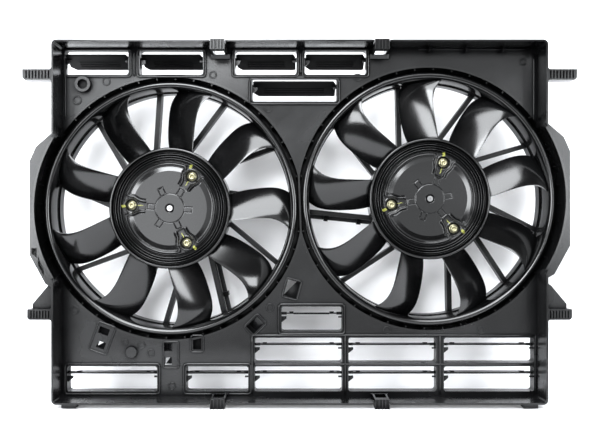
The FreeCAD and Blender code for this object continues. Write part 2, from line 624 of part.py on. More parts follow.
def beyond_middle(name, side, short):
    """Everything past the plane half-way between the fans, seen from one fan's own axis.

    The rings stand closer than two full barrels have room for, so both barrels end at that plane;
    short moves the plane towards the fan.
    """
    apart = V(amount(f"{RIGHT_FAN_X} - {LEFT_FAN_X}"), 0, amount("right_fan_z - left_fan_z"))
    toward = apart if side == "left" else -apart
    tall = f"2 * ({BARREL_OUTER} + 10)"
    block = box(name + "_block", apart.Length / 2 - short, "0", f"-({tall}) / 2", BARREL_OUTER,
                "3 * ring_rear", tall)
    return laid(name, block, about_y(math.degrees(math.atan2(toward.z, toward.x))))


def barrel(side, x, z, sign):
    """The round duct of one fan with its rear step, its outlet, its flank wall and its seal ribs."""
    step = "tray_depth + barrel_depth"
    plug = [("0", "tray_depth"), (BARREL_OUTER, "tray_depth"), (BARREL_OUTER, f"{step} + step_thick"),
            ("0", f"{step} + step_thick")]
    bore = [("0", "tray_depth - 1"), ("barrel_bore", "tray_depth - 1"), ("barrel_bore", step), ("0", step)]
    shell = cut(side + "_shell", turned(side + "_shell_plug", plug), [beyond_middle(side + "_end", side, 0)])
    hollow = cut(side + "_hollow", turned(side + "_bore", bore),
                 [beyond_middle(side + "_partition", side, size("partition") / 2)])
    mouth = disc(side + "_mouth", "0", "tray_depth", "0", "exit_bore", "barrel_depth + 20")
    duct = cut(side + "_duct", shell, [hollow, mouth])
    outlet = turned(side + "_outlet", [("exit_bore", f"{step} + step_thick / 2"),
                                       ("exit_bore + exit_wall", f"{step} + step_thick / 2"),
                                       ("exit_bore + exit_wall", f"{step} + exit_length"),
                                       ("exit_bore", f"{step} + exit_length")])
    flank = [("barrel_bore", "tray_depth - flank_rise"), (BARREL_OUTER, "tray_depth - flank_rise"),
             (BARREL_OUTER, "tray_depth + 1"), ("barrel_bore", "tray_depth + 1")]
    span = f"2 * acos({side}_fan_inset / barrel_bore)"
    half = math.degrees(math.acos(size(side + "_fan_inset") / size("barrel_bore")))
    arc = turned(side + "_flank", flank, span, (0 if sign > 0 else 180) - half)
    rib = box(side + "_seal_rib", "barrel_bore - seal_rib_reach", "tray_depth + 1",
              "-seal_rib_thick / 2", "seal_rib_reach + 1", "barrel_depth", "seal_rib_thick")
    count = int(size("seal_rib_count"))
    pitch = 360 / count
    lined_up = math.degrees(math.atan2(amount("right_fan_z - left_fan_z"),
                                       amount(f"{RIGHT_FAN_X} - {LEFT_FAN_X}")))
    ribs = spread(side + "_seal_ribs", rib, count, lined_up + pitch / 2)
    ribs = [r for i, r in enumerate(ribs) if not beside_partition(side, i, count)]
    return move(fuse(side + "_barrel_solid", [duct, outlet, arc] + ribs), x, z)


def beside_partition(side, number, count):
    """True for a seal rib that would stand in the wall between the two barrels."""
    angle = 360 / count * (number + 0.5) - (0 if side == "left" else 180)
    return math.cos(math.radians(angle)) > 0.985


for side_name, fan_x, fan_z, fan_sign in SIDES:
    keep(side_name + "_fan_barrel", barrel(side_name, fan_x, fan_z, fan_sign))

# ---------------------------------------------------------------------------------------------------
# Motor carriers: a collar for the motor on leaning arms inside the outlet of each barrel
# ---------------------------------------------------------------------------------------------------

ARM_ANGLES = {"left": (4, 32, 65, 98, 132, 168, 212, 240, 265, 295, 332),
              "right": (28, 65, 103, 140, 186, 225, 256, 283, 315, 345)}
CABLE_ARM = {"left": 295, "right": 186}


def arm_line(angle):
    """Where an arm starts on the collar, its direction and its length to the outlet's wall."""
    inner, outer = size("collar_radius") - 4, size("exit_bore")
    lean = math.radians(angle + size("arm_lean"))
    rim = math.radians(angle)
    start = V(inner * math.cos(lean), 0, inner * math.sin(lean))
    end = V(outer * math.cos(rim), 0, outer * math.sin(rim))
    return start, (end - start).normalize(), (end - start).Length


def arm(name, angle):
    """One arm as a block laid along its line, long enough to sink into the outlet's wall."""
    start, along, length = arm_line(angle)
    turn = math.degrees(math.atan2(along.z, along.x))
    block = doc.addObject("Part::Box", name)
    bind(block, Width="carrier_rear - carrier_front", Height="arm_width")
    block.Length = length + 6
    corner = V(0, size("carrier_front"), -size("arm_width") / 2)
    rotation = FreeCAD.Rotation(-Y_AXIS, turn)
    block.Placement = FreeCAD.Placement(start + rotation.multVec(corner), rotation)
    return block


def carrier(side, x, z):
    """The collar that the motor is screwed to, with its arms, trimmed to the outlet's bore."""
    front, rear = "carrier_front", "carrier_rear"
    collar = turned(side + "_collar", [("collar_bore", front), ("collar_radius", front),
                                       ("collar_radius", rear), ("collar_bore", rear)])
    arms = fuse(side + "_arms", [arm(f"{side}_arm_{a}", a) for a in ARM_ANGLES[side]])
    trim = turned(side + "_arm_trim", [("collar_bore + 1", "0"), ("exit_bore", "0"),
                                       ("exit_bore", "200"), ("collar_bore + 1", "200")])
    trimmed = doc.addObject("Part::Common", side + "_arms_trimmed")
    trimmed.Base, trimmed.Tool = arms, trim

    hole = disc(side + "_carrier_hole", "motor_screw_circle", "carrier_rear - motor_screw_length",
                "0", "motor_screw_radius", "motor_screw_length + 1")
    holes = spread(side + "_carrier_holes", hole, 3, 30)
    body = cut(side + "_carrier_body", fuse(side + "_carrier_solid", [collar, trimmed]), holes)
    return move(body, x, z)


for side_name, fan_x, fan_z, _ in SIDES:
    keep(side_name + "_motor_carrier", carrier(side_name, fan_x, fan_z))

# ---------------------------------------------------------------------------------------------------
# Fan mouldings: ring, hub and nine blades in one piece
# ---------------------------------------------------------------------------------------------------

# Blade sections from hub to ring: share of the way, leading angle, trailing angle, leading depth,
# trailing depth. Angles are counted from the root of the leading edge, depths from the rim plane.
BLADE_SECTIONS = ((0, -1.2, 25, 35, 63), (0.277, 3.6, 26.5, 36, 65.5), (0.564, 6, 25, 38.5, 66.5),
                  (0.802, 4.6, 22.4, 42, 67), (1, -1.2, 16, 47, 67))
BLADE_LEAD = -27.4


def blade_section(share, lead, trail, lead_y, trail_y):
    """A thin cambered section in the plane square to the radius through its middle."""
    root, tip = size("hub_radius") - size("blade_root"), size("ring_bore") + size("blade_tip")
    radius = root + share * (tip - root)
    middle = math.radians((lead + trail) / 2)
    half = radius * math.tan(math.radians((trail - lead) / 2))
    outward = V(math.cos(middle), 0, math.sin(middle))
    sideways = V(-math.sin(middle), 0, math.cos(middle))
    front = outward * radius - sideways * half + Y_AXIS * lead_y
    rear = outward * radius + sideways * half + Y_AXIS * trail_y
    chord = rear - front
    normal = chord.cross(outward).normalize()
    if normal.y > 0:
        normal = -normal
    edge = normal * (size("blade_edge") / 2)
    bow = normal * (chord.Length * size("blade_camber"))
    belly = normal * (size("blade_thick") / 2)
    crown = (front + rear) * 0.5 + bow * 2
    upper = bent_line(front + edge, crown + belly * 2 - edge, rear + edge)
    lower = bent_line(rear - edge, crown - belly * 2 + edge, front - edge)
    tail = Part.makeLine(rear + edge, rear - edge)
    nose = Part.makeLine(front - edge, front + edge)
    return Part.Wire([upper, tail, lower, nose])


def bent_line(start, pull, end):
    """A smooth edge from start to end, drawn towards a point between them."""
    curve = Part.BezierCurve()
    curve.setPoles([start, pull, end])
    return curve.toShape()


def blades():
    """The blades, each lofted through its sections and trimmed to the hub's and ring's walls."""
    loft = Part.makeLoft([blade_section(*section) for section in BLADE_SECTIONS], True, True)
    start, depth = V(0, -size("ring_rear"), 0), 3 * size("ring_rear")
    root = Part.makeCylinder(size("hub_radius") - size("hub_wall") / 2, depth, start, Y_AXIS)
    tip = Part.makeCylinder(size("ring_bore") + size("ring_wall") / 2, depth, start, Y_AXIS)
    blade = loft.common(tip).cut(root)
    pitch = 360.0 / size("blade_count")
    feature = doc.addObject("Part::Feature", "fan_blades")
    turns = [BLADE_LEAD + pitch * i for i in range(int(size("blade_count")))]
    feature.Shape = Part.makeCompound([blade.rotated(V(0, 0, 0), -Y_AXIS, turn) for turn in turns])
    return feature


def fan_ring(side):
    """The ring round the blade tips with its flared front lip."""
    bore, outer = "ring_bore", "ring_bore + ring_wall"
    profile = [(bore, "ring_rear"), (bore, "ring_front + 9"), ("lip_crest - 3", "ring_front + 2.2"),
               ("lip_crest - 1", "ring_front"), ("lip_crest + 0.6", "ring_front"),
               ("lip_radius", "ring_front + 3"), ("lip_radius", "ring_front + 3 + lip_thick"),
               ("lip_crest + 0.4", "ring_front + 3.4"), (outer, "ring_front + 10"),
               (outer, "ring_rear")]
    return turned(side + "_ring", profile)


# The shoulder of the hub stands round a flat face, which the fan screws go through into the can.
FACE_RADIUS = "(hub_radius - shoulder)"
SCREW_CIRCLE = f"({FACE_RADIUS} - screw_inset)"
CAN_RADIUS = "(hub_radius - can_clear)"
CORE_RADIUS = f"({CAN_RADIUS} - can_wall - air_gap)"


def fan_hub(side):
    """The hub: a stepped shoulder, a dished face and a skirt, turned in one."""
    front, face = "hub_front", "hub_front + 1.5"
    dish_outer = f"{FACE_RADIUS} - dish_margin"
    dish_inner = f"{dish_outer} - dish_width"
    profile = [("shaft_radius + 0.6", front), ("centre_radius", front), ("centre_radius", face),
               (dish_inner, face), (f"{dish_inner} + 1.5", f"{face} + dish_depth"),
               (f"{dish_outer} - 1.5", f"{face} + dish_depth"), (dish_outer, face),
               (FACE_RADIUS, face), (FACE_RADIUS, f"{face} + 3.5"),
               (f"{FACE_RADIUS} + 4.2", f"{face} + 3.5"), (f"{FACE_RADIUS} + 4.2", f"{face} + 2.4"),
               (f"{FACE_RADIUS} + 10.6", face), ("hub_radius - 6.6", face),
               ("hub_radius - 6.6", f"{face} + 2.2"),
               ("hub_radius - 4.4", f"{face} + 2.2"), ("hub_radius - 4.4", f"{front} + 0.2"),
               ("hub_radius - 1.8", f"{front} + 0.2"), ("hub_radius", f"{front} + 2"),
               ("hub_radius", "hub_rear"), ("hub_radius - hub_wall", "hub_rear"),
               ("hub_radius - hub_wall", "hub_back"), ("shaft_radius + 0.6", "hub_back")]
    return turned(side + "_hub", profile)


def screw_pocket(name):
    """A bell-shaped recess in the face round one fan screw."""
    half = [(-19, 5), (-14.7, 7), (-8.7, 7.5), (-4.7, 11), (5.3, 11.5), (9.3, 14), (14.3, 14.5)]
    outline = [(f"{SCREW_CIRCLE} + ({along})", -across) for along, across in half]
    outline += [(f"{SCREW_CIRCLE} + ({along})", across) for along, across in reversed(half)]
    return prism(name, outline, "hub_front - 2", "screw_seat - hub_front + 0.6")


def fan(side, x, z, turn, blade_set):
    """One fan moulding, turned as it stands at rest."""
    tab = box(side + "_tab", "tab_start", "hub_front + 1.5 - tab_rise", "-tab_width / 2",
              "tab_length", "tab_rise + 1", "tab_width")
    hole = disc(side + "_screw_hole", SCREW_CIRCLE, "0", "0", "screw_radius + screw_gap", "80")
    seat = disc(side + "_screw_seat", SCREW_CIRCLE, "hub_front - 2", "0", "screw_pocket",
                "screw_seat - hub_front + 2")
    cuts = [copy for piece in (screw_pocket(side + "_pocket"), hole, seat)
            for copy in spread(piece.Name + "_set", piece, 3)]
    hub = fuse(side + "_hub_tabs", [fan_hub(side)] + spread(side + "_tabs", tab, 6))
    open_hub = cut(side + "_hub_open", hub, cuts)
    whole = fuse(side + "_fan_solid", [open_hub, fan_ring(side), blade_set])
    whole.Placement.Rotation = FreeCAD.Rotation(-Y_AXIS, size(turn))
    return move(whole, x, z)


blade_feature = blades()
for side_name, fan_x, fan_z, _ in SIDES:
    moulding = fan(side_name, fan_x, fan_z, side_name + "_fan_turn", blade_feature)
    keep(side_name + "_fan_moulding", moulding)

# ---------------------------------------------------------------------------------------------------
# Motors: the can, the shaft and the fan screws turn; the rest is screwed to the carrier
# ---------------------------------------------------------------------------------------------------


def place_turned(thing, side, x, z):
    """Put a piece that turns with the fan on its axis at the fan's own angle."""
    thing.Placement.Rotation = FreeCAD.Rotation(-Y_AXIS, size(side + "_fan_turn"))
    return move(thing, x, z)


def rotor_can(side):
    """The cup that the fan is screwed to, with its magnets' seat inside."""
    profile = [("shaft_radius + seat_fit", "hub_back"), (CAN_RADIUS, "hub_back"),
               (CAN_RADIUS, "can_rear"), (f"{CAN_RADIUS} - can_wall", "can_rear"),
               (f"{CAN_RADIUS} - can_wall", "hub_back + 5"), ("12", "hub_back + 5"),
               ("12", "hub_back + 6"), ("shaft_radius + seat_fit", "hub_back + 6")]
    cup = turned(side + "_cup", profile)

    hole = disc(side + "_can_hole", SCREW_CIRCLE, "0", "0", "screw_radius + screw_gap", "80")
    return cut(side + "_can_solid", cup, spread(side + "_can_holes", hole, 3))


def fan_screws(side):
    """Three flanged screws through the hub into the can."""
    name = side + "_fan_screw"
    head = disc(name + "_head", SCREW_CIRCLE, "screw_seat - screw_head_rise", "0",
                "screw_head", "screw_head_rise")
    shank = disc(name + "_shank", SCREW_CIRCLE, "screw_seat - 1", "0", "screw_radius",
                 "screw_length - 3")
    socket = disc(name + "_socket", SCREW_CIRCLE, "screw_seat - screw_head_rise - 1", "0",
                  "screw_radius * 0.8", "screw_head_rise - 0.6")
    screw = cut(name, fuse(name + "_solid", [head, shank]), [socket])
    pieces = doc.addObject("Part::Compound", name + "_set")
    pieces.Links = spread(name + "s", screw, 3)
    return pieces


def shaft(side):
    """The motor shaft with a small centre drilling in its front end."""
    pin = disc(side + "_shaft_rod", "0", "hub_front + 0.5", "0", "shaft_radius",
               "shaft_rear - hub_front - 0.5")
    drill = disc(side + "_shaft_drill", "0", "hub_front - 1", "0", "1.2", "4")
    return cut(side + "_shaft_solid", pin, [drill])


def stator_core(side):
    """The laminated core with its slots open to the can."""
    ring = turned(side + "_core", [("core_bore", "core_front"), (CORE_RADIUS, "core_front"),
                                   (CORE_RADIUS, "core_rear"), ("core_bore", "core_rear")])

    slot = box(side + "_slot", f"{CORE_RADIUS} - slot_depth", "core_front - 1", "-slot_width / 2",
               "slot_depth + 1", "core_rear - core_front + 2", "slot_width")
    slots = spread(side + "_slots", slot, int(size("slot_count")))
    return cut(side + "_core_solid", ring, slots)


def motor_housing(side):
    """The fixed housing: bearing post, body, flange and the finned cover of the electronics."""
    flange, bore = "carrier_rear", "bearing_radius + seat_fit"
    profile = [(bore, "core_front + 0.5"), ("post_radius", "core_front + 0.5"),
               ("post_radius", "motor_front"), ("motor_radius", "motor_front"),
               ("motor_radius", flange), ("flange_radius", flange),
               ("flange_radius", f"{flange} + flange_thick"), ("cover_radius", f"{flange} + flange_thick"),
               ("cover_radius", f"{flange} + flange_thick + cover_depth"),
               ("0", f"{flange} + flange_thick + cover_depth"), ("0", "shaft_rear + 2"),
               (bore, "shaft_rear + 2")]
    body = turned(side + "_motor_body", profile)

    fin = box(side + "_fin", "18", f"{flange} + flange_thick + cover_depth - 1", "-fin_thick / 2",
              "cover_radius - 20", "fin_rise + 1", "fin_thick")
    hole = disc(side + "_flange_hole", "motor_screw_circle", f"{flange} - 1", "0",
                "motor_screw_radius + screw_gap", "flange_thick + 2")
    fins = spread(side + "_fins", fin, int(size("fin_count")))
    holes = spread(side + "_flange_holes", hole, 3, 30)
    return cut(side + "_motor_solid", fuse(side + "_motor_finned", [body] + fins), holes)


def motor_screws(side):
    """Three screws that hold the motor's flange on the collar."""
    name, top = side + "_motor_screw", "carrier_rear + flange_thick"
    head = disc(name + "_head", "motor_screw_circle", top, "0", "motor_screw_head",
                "motor_screw_rise")
    shank = disc(name + "_shank", "motor_screw_circle", f"{top} - motor_screw_length", "0",
                 "motor_screw_radius", "motor_screw_length + 1")
    pieces = doc.addObject("Part::Compound", name + "_set")
    pieces.Links = spread(name + "s", fuse(name, [head, shank]), 3, 30)
    return pieces


def bearings(side):
    """The two bearings of the shaft in the post."""
    pieces = []
    for number, front in enumerate(("core_front + 0.5", "shaft_rear - bearing_width - 1")):
        profile = [("shaft_radius + running_fit", front), ("bearing_radius", front),
                   ("bearing_radius", f"{front} + bearing_width"),
                   ("shaft_radius + running_fit", f"{front} + bearing_width")]
        pieces.append(turned(f"{side}_bearing_{number + 1}", profile))
    pair = doc.addObject("Part::Compound", side + "_bearing_set")
    pair.Links = pieces
    return pair


for side_name, fan_x, fan_z, _ in SIDES:
    keep(side_name + "_rotor_can", place_turned(rotor_can(side_name), side_name, fan_x, fan_z))
    keep(side_name + "_fan_screws", place_turned(fan_screws(side_name), side_name, fan_x, fan_z))
    keep(side_name + "_motor_shaft", place_turned(shaft(side_name), side_name, fan_x, fan_z))
    keep(side_name + "_stator_core", move(stator_core(side_name), fan_x, fan_z))
    keep(side_name + "_motor_housing", move(motor_housing(side_name), fan_x, fan_z))
    keep(side_name + "_motor_screws", move(motor_screws(side_name), fan_x, fan_z))
    keep(side_name + "_motor_bearings", move(bearings(side_name), fan_x, fan_z))

# ---------------------------------------------------------------------------------------------------
# Cables: each runs from its motor along one arm to a plug on the barrel's step
# ---------------------------------------------------------------------------------------------------


def beside_arm(angle):
    """The placement of a piece made along +X beside an arm, with x counted from the collar."""
    start, along, _ = arm_line(angle)
    turn = math.degrees(math.atan2(along.z, along.x))
    rotation = FreeCAD.Rotation(-Y_AXIS, turn)
    return FreeCAD.Placement(start + rotation.multVec(V(0, 0, size("cable_offset"))), rotation)


def cable_pieces(side, angle):
    """The cable, its clips and its plug, along +X before they are laid beside the arm."""
    _, _, length = arm_line(angle)
    start, end = -size("gland_length"), length + size("plug_stand_off")
    cord = rod_x(side + "_cord", start, "cable_depth", "0", "cable_radius", end - start)
    clips = []
    for number, share in enumerate((0.3, 0.72)):
        x = start + share * (end - start)
        block = box(f"{side}_clip_block_{number}", x, "carrier_rear", "-cable_radius - clip_grip",
                    "6", "cable_depth - carrier_rear + cable_radius + clip_grip",
                    "2 * (cable_radius + clip_grip)")
        bore = rod_x(f"{side}_clip_bore_{number}", x - 1, "cable_depth", "0", "cable_radius", 8)
        clips.append(cut(f"{side}_clip_{number}", block, [bore]))
    clip_set = doc.addObject("Part::Compound", side + "_clip_set")
    clip_set.Links = clips
    step = "tray_depth + barrel_depth + step_thick"
    plug = box(side + "_plug_body", end, step, "-plug_width / 2", "plug_length",
               f"cable_depth + cable_radius + 3 - ({step})", "plug_width")
    return cord, clip_set, plug


for side_name, fan_x, fan_z, _ in SIDES:
    arm_angle = CABLE_ARM[side_name]
    for label, piece in zip(("cable", "cable_clips", "plug"), cable_pieces(side_name, arm_angle)):
        beside = laid(f"{side_name}_{label}_beside_arm", piece, beside_arm(arm_angle))
        whole = move(laid(f"{side_name}_{label}_placed", beside, FreeCAD.Placement()), fan_x, fan_z)
        if label == "cable":
            cover = disc(side_name + "_cover", fan_x, "carrier_rear", fan_z, "cover_radius", "60")
            whole = cut(side_name + "_cable_trimmed", whole, [cover])
        keep(f"{side_name}_{label}", whole)

# ---------------------------------------------------------------------------------------------------
# Checks and export
# ---------------------------------------------------------------------------------------------------

doc.recompute()
for thing in doc.Objects:
    if "Invalid" in thing.State or "Error" in thing.State:
        raise RuntimeError(f"{thing.Name} failed: {thing.State}")
for name, thing in nodes.items():
    if thing.Shape.isNull() or not thing.Shape.isValid():
        raise RuntimeError(f"{name} has no valid shape")
for name, thing in nodes.items():
    thing.Shape.exportStep(f"parts/{name}.step")
    box_ = thing.Shape.BoundBox
    print(f"{name}: {len(thing.Shape.Solids)} solids, {thing.Shape.Volume / 1000:.1f} cm3, "
          f"{box_.XLength:.0f} x {box_.YLength:.0f} x {box_.ZLength:.0f}")
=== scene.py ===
# %% [markdown]
# # A radiator fan shroud with two ring fans and ram-air flaps
#
# The shroud is a shallow black plastic tray. Its open side seals on the radiator and faces us. Two
# ring fans turn in round barrels at the back of the tray, each on a flat brushless motor that
# stands on leaning arms. Framed windows in the tray's floor carry flaps that the wind of driving
# pushes open.
#
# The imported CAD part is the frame: every piece below is placed from it, in metres.

import math

import bpy
import numpy as np
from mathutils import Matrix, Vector
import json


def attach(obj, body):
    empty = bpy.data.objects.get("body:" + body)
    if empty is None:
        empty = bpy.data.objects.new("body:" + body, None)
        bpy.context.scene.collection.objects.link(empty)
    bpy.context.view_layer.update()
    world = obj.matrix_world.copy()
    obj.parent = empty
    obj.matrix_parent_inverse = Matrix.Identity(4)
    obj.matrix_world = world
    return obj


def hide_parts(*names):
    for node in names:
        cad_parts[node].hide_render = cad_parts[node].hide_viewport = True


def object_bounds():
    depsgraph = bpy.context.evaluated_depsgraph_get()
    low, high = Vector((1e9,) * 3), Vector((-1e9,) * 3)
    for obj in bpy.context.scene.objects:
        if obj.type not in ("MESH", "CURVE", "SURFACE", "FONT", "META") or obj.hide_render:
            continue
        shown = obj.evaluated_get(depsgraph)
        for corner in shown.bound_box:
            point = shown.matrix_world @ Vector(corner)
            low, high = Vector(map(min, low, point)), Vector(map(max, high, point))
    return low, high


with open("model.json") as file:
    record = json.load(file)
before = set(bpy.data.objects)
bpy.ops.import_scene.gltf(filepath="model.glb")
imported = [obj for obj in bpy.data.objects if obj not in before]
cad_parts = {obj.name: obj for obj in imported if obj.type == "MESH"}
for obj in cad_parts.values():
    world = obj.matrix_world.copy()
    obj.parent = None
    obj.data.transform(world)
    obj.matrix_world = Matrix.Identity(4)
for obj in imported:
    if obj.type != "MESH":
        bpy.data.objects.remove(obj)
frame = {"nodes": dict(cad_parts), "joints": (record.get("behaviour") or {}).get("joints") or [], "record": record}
cad_low, cad_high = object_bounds()
print("nodes:", len(frame["nodes"]), "size in mm:", [round(1000 * v) for v in cad_high - cad_low])

# %% [markdown]
# ## Camera
#
# The view is square on to the rim, from a little left of the middle. The nearer a thing stands to
# a camera, the more its walls splay, and the tray's walls splay just as much as they do from 0.9 m.
# The camera looks level and straight ahead, which keeps the tray's upright edges parallel; a camera
# that was tilted or aimed at the middle would let them lean.

# %% Camera
EYE = Vector((-0.0072, -0.900, 0.2515))
SENSOR_WIDTH = 36
FOCAL_LENGTH, FRAME_WIDTH = 658.4, 589  # in the same unit, so that only their ratio counts

lens = bpy.data.cameras.new("camera")
lens.sensor_width = SENSOR_WIDTH
lens.lens = FOCAL_LENGTH / FRAME_WIDTH * SENSOR_WIDTH
camera = bpy.data.objects.new("camera", lens)
camera.location = EYE
camera.rotation_euler = (math.radians(90), 0, 0)
bpy.context.scene.collection.objects.link(camera)
bpy.context.scene.camera = camera
print("lens in mm:", round(lens.lens, 2))

# %% [markdown]
# ## From CAD solid to moulded part
#
# A real moulding has no knife edges: the tool's corners leave a small radius, and that radius is
# what catches the light and draws the part's outline. A imported CAD node is loose triangles with
# sharp edges. So each node that stays in view is copied, its triangles are merged into flat faces,
# and a Bevel modifier rounds every edge that turns by more than 30 degrees. The copy stands for
# the node and rides on the same body. A bevel is chosen over a shader trick because the rounded
# edge then exists in the mesh itself.
#
# A wide plate next to a narrow bevel would be shaded as if it were bent. A Weighted Normal modifier
# gives the largest face the say over its corners, so a flat plate stays flat in the light.

# %% A rounded copy of a CAD node
import bmesh


def link(piece, body, slot_name, *nodes):
    """Put a finished piece in the scene: it rides on a body and may stand for CAD nodes."""
    bpy.context.scene.collection.objects.link(piece)
    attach(piece, body)
    if nodes:
        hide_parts(*nodes)
    return piece


def body_of(node):
    """The name of the body that a CAD node belongs to."""
    groups = frame["record"]["behaviour"]["bodies"]
    return next(body for body, members in groups.items() if node in members)


def slot_of(node):
    """The record's material slot of a CAD node."""
    parts = frame["record"]["subparts"]
    return next(part["material_slot"] for part in parts if part["node"] == node)


MERGE_WITHIN = 2e-6
FLAT_WITHIN, SHARP_FROM = math.radians(0.6), math.radians(30)
BEVEL_SEGMENTS, AREA_WEIGHT = 2, 90


def softened(node, width):
    """A copy of a node with merged flat faces and its edges rounded to a width by a bevel."""
    mesh = bpy.data.meshes.new(node + "_moulded")
    shape = bmesh.new()
    shape.from_mesh(frame["nodes"][node].data)
    bmesh.ops.remove_doubles(shape, verts=shape.verts, dist=MERGE_WITHIN)
    bmesh.ops.dissolve_limit(shape, angle_limit=FLAT_WITHIN, verts=shape.verts,
                             edges=shape.edges, delimit={"NORMAL"})
    for face in shape.faces:
        face.smooth = True
    shape.to_mesh(mesh)
    shape.free()
    piece = bpy.data.objects.new(node + "_moulded", mesh)
    bevel = piece.modifiers.new("edge_radius", "BEVEL")
    bevel.width, bevel.segments = width, BEVEL_SEGMENTS
    bevel.limit_method, bevel.angle_limit = "ANGLE", SHARP_FROM
    bevel.harden_normals = True
    bevel.use_clamp_overlap = True
    flat = piece.modifiers.new("flat_plates", "WEIGHTED_NORMAL")
    flat.mode, flat.weight = "FACE_AREA", AREA_WEIGHT
    return link(piece, body_of(node), slot_of(node), node)


# %% The mouldings that stay in view
MOULDED = {  # node: width of its rounded edges in metres
    "shroud_panel": 0.0005,
    "upper_left_vent_frame": 0.0004, "upper_centre_vent_frame": 0.0004,
    "centre_vent_frame": 0.0004, "lower_right_vent_frame": 0.0004,
    "lower_left_vent_frame": 0.0004,
    "left_fan_barrel": 0.0006, "right_fan_barrel": 0.0006,
    "left_motor_carrier": 0.0006, "right_motor_carrier": 0.0006,
    "left_motor_housing": 0.0006, "right_motor_housing": 0.0006,
    "left_plug": 0.0008, "right_plug": 0.0008,
}
FLAP_EDGE = 0.0002

moulded = {}
for node, width in MOULDED.items():
    moulded[node] = softened(node, width)
for node in frame["nodes"]:
    if node.endswith("_flap"):
        moulded[node] = softened(node, FLAP_EDGE)
print("rounded copies:", len(moulded))

# %% [markdown]
# ## Surfaces from arrays
#
# Every new piece below is a grid of points: rows run one way over the surface and columns the
# other. One helper turns such a grid into a mesh, one joins meshes into a closed piece whose faces
# all look outwards, and one places points round a fan's axis.

# %% Grid helpers
MM = 0.001
SIDES = ("left", "right")
SAME_POINT = 1e-7


def grid_mesh(name, points, wrap_rows=False, wrap_columns=False, flip=False):
    """Quads between neighbouring points of an array of shape (rows, columns, 3).

    A wrapped direction runs on from its last points to its first. Flip turns each quad round, for
    a grid whose rows and columns run the other way about.
    """
    rows, columns = points.shape[:2]
    index = np.arange(rows * columns).reshape(rows, columns)
    if wrap_rows:
        index = np.vstack([index, index[:1]])
    if wrap_columns:
        index = np.hstack([index, index[:, :1]])
    quads = np.stack([index[:-1, :-1], index[1:, :-1], index[1:, 1:], index[:-1, 1:]], axis=-1)
    quads = quads.reshape(-1, 4)
    if flip:
        quads = quads[:, ::-1]
    mesh = bpy.data.meshes.new(name)
    mesh.vertices.add(rows * columns)
    mesh.vertices.foreach_set("co", points.reshape(-1).astype(np.float32))
    mesh.loops.add(quads.size)
    mesh.loops.foreach_set("vertex_index", quads.reshape(-1).astype(np.int32))
    mesh.polygons.add(len(quads))
    mesh.polygons.foreach_set("loop_start", np.arange(0, quads.size, 4, dtype=np.int32))
    mesh.polygons.foreach_set("use_smooth", np.ones(len(quads), dtype=bool))
    mesh.update(calc_edges=True)
    mesh.validate()
    return mesh


def joined(name, meshes):
    """One object from several meshes, closed and facing outwards.

    Points that coincide, as at a pole, become one, and open ends are filled with a face.
    """
    shape = bmesh.new()
    for mesh in meshes:
        shape.from_mesh(mesh)
    bmesh.ops.remove_doubles(shape, verts=shape.verts, dist=SAME_POINT)
    bmesh.ops.holes_fill(shape, edges=shape.edges, sides=0)
    bmesh.ops.recalc_face_normals(shape, faces=shape.faces)
    whole = bpy.data.meshes.new(name)
    shape.to_mesh(whole)
    shape.free()
    for mesh in meshes:
        bpy.data.meshes.remove(mesh)
    return bpy.data.objects.new(name, whole)


def axis_of(side):
    """The fan axis of one side as (x, z), read from its joint."""
    joint = next(j for j in frame["joints"] if j["name"] == side + "_fan_spin")
    return joint["pos_m"][0], joint["pos_m"][2]


def polar(radius, angle, depth, side):
    """Points at a radius and an angle round a fan's axis; angles run from +X towards +Z."""
    x, z = axis_of(side)
    radius, angle, depth = np.broadcast_arrays(radius, angle, depth)
    return np.stack([x + radius * np.cos(angle), depth, z + radius * np.sin(angle)], axis=-1)


print("fan axes in mm:", [tuple(round(1000 * v, 1) for v in axis_of(side)) for side in SIDES])

# %% [markdown]
# ## Fan hub
#
# The hub is a drum with a dished face. Nearly all of its form is height over a flat disc: three
# sectors with a keyhole pocket round each screw between them, six little tabs round the middle, and
# outside them a channel with rounded rings and a shoulder. So the front is one height field on a
# polar grid, in which each feature adds its own soft step. The grid then runs over the shoulder,
# down the outside of the drum and back up inside. The hub could be cut from a disc with booleans
# instead, but then each of its many soft corners would need a fillet of its own.

# %% Soft steps


def step(value, edge, softness=0.35):
    """0 below an edge and 1 above it, with a soft slope between, like a moulded corner.

    With t going evenly from 0 to 1 within one softness to either side of the edge, the step is
    t^2 (3 - 2 t).
    """
    t = np.clip((value - edge) / softness * 0.5 + 0.5, 0, 1)
    return t * t * (3 - 2 * t)


def band(value, low, high, softness=0.35):
    """1 between two edges and 0 outside them: a step up at one times a step down at the other."""
    return step(value, low, softness) * (1 - step(value, high, softness))


def smooth_least(a, b, blend=2.2):
    """The lesser of two distances, with the corner between them rounded off.

    With m going evenly from 0 to 1 while b - a goes from less the blend to the blend, the result is
    b (1 - m) + a m - blend m (1 - m).
    """
    mix = np.clip(0.5 + 0.5 * (b - a) / blend, 0, 1)
    return b * (1 - mix) + a * mix - blend * mix * (1 - mix)


print("a step at -0.2, 0 and 0.2 mm:", step(np.array([-0.2, 0.0, 0.2]), 0).round(2))

# %% Height of the hub's face
SCREW_CIRCLE = 54.7  # the fan's sizes are in mm until they reach polar()
SECTOR_START, SECTOR_END = 33.5, 64.3
FACE_DEPTH, WELL_DEPTH = 32.5, 37.0
RINGS = ((70.2, 2.5), (73.4, 2.9), (76.8, 3.3))  # middle radius and height of each


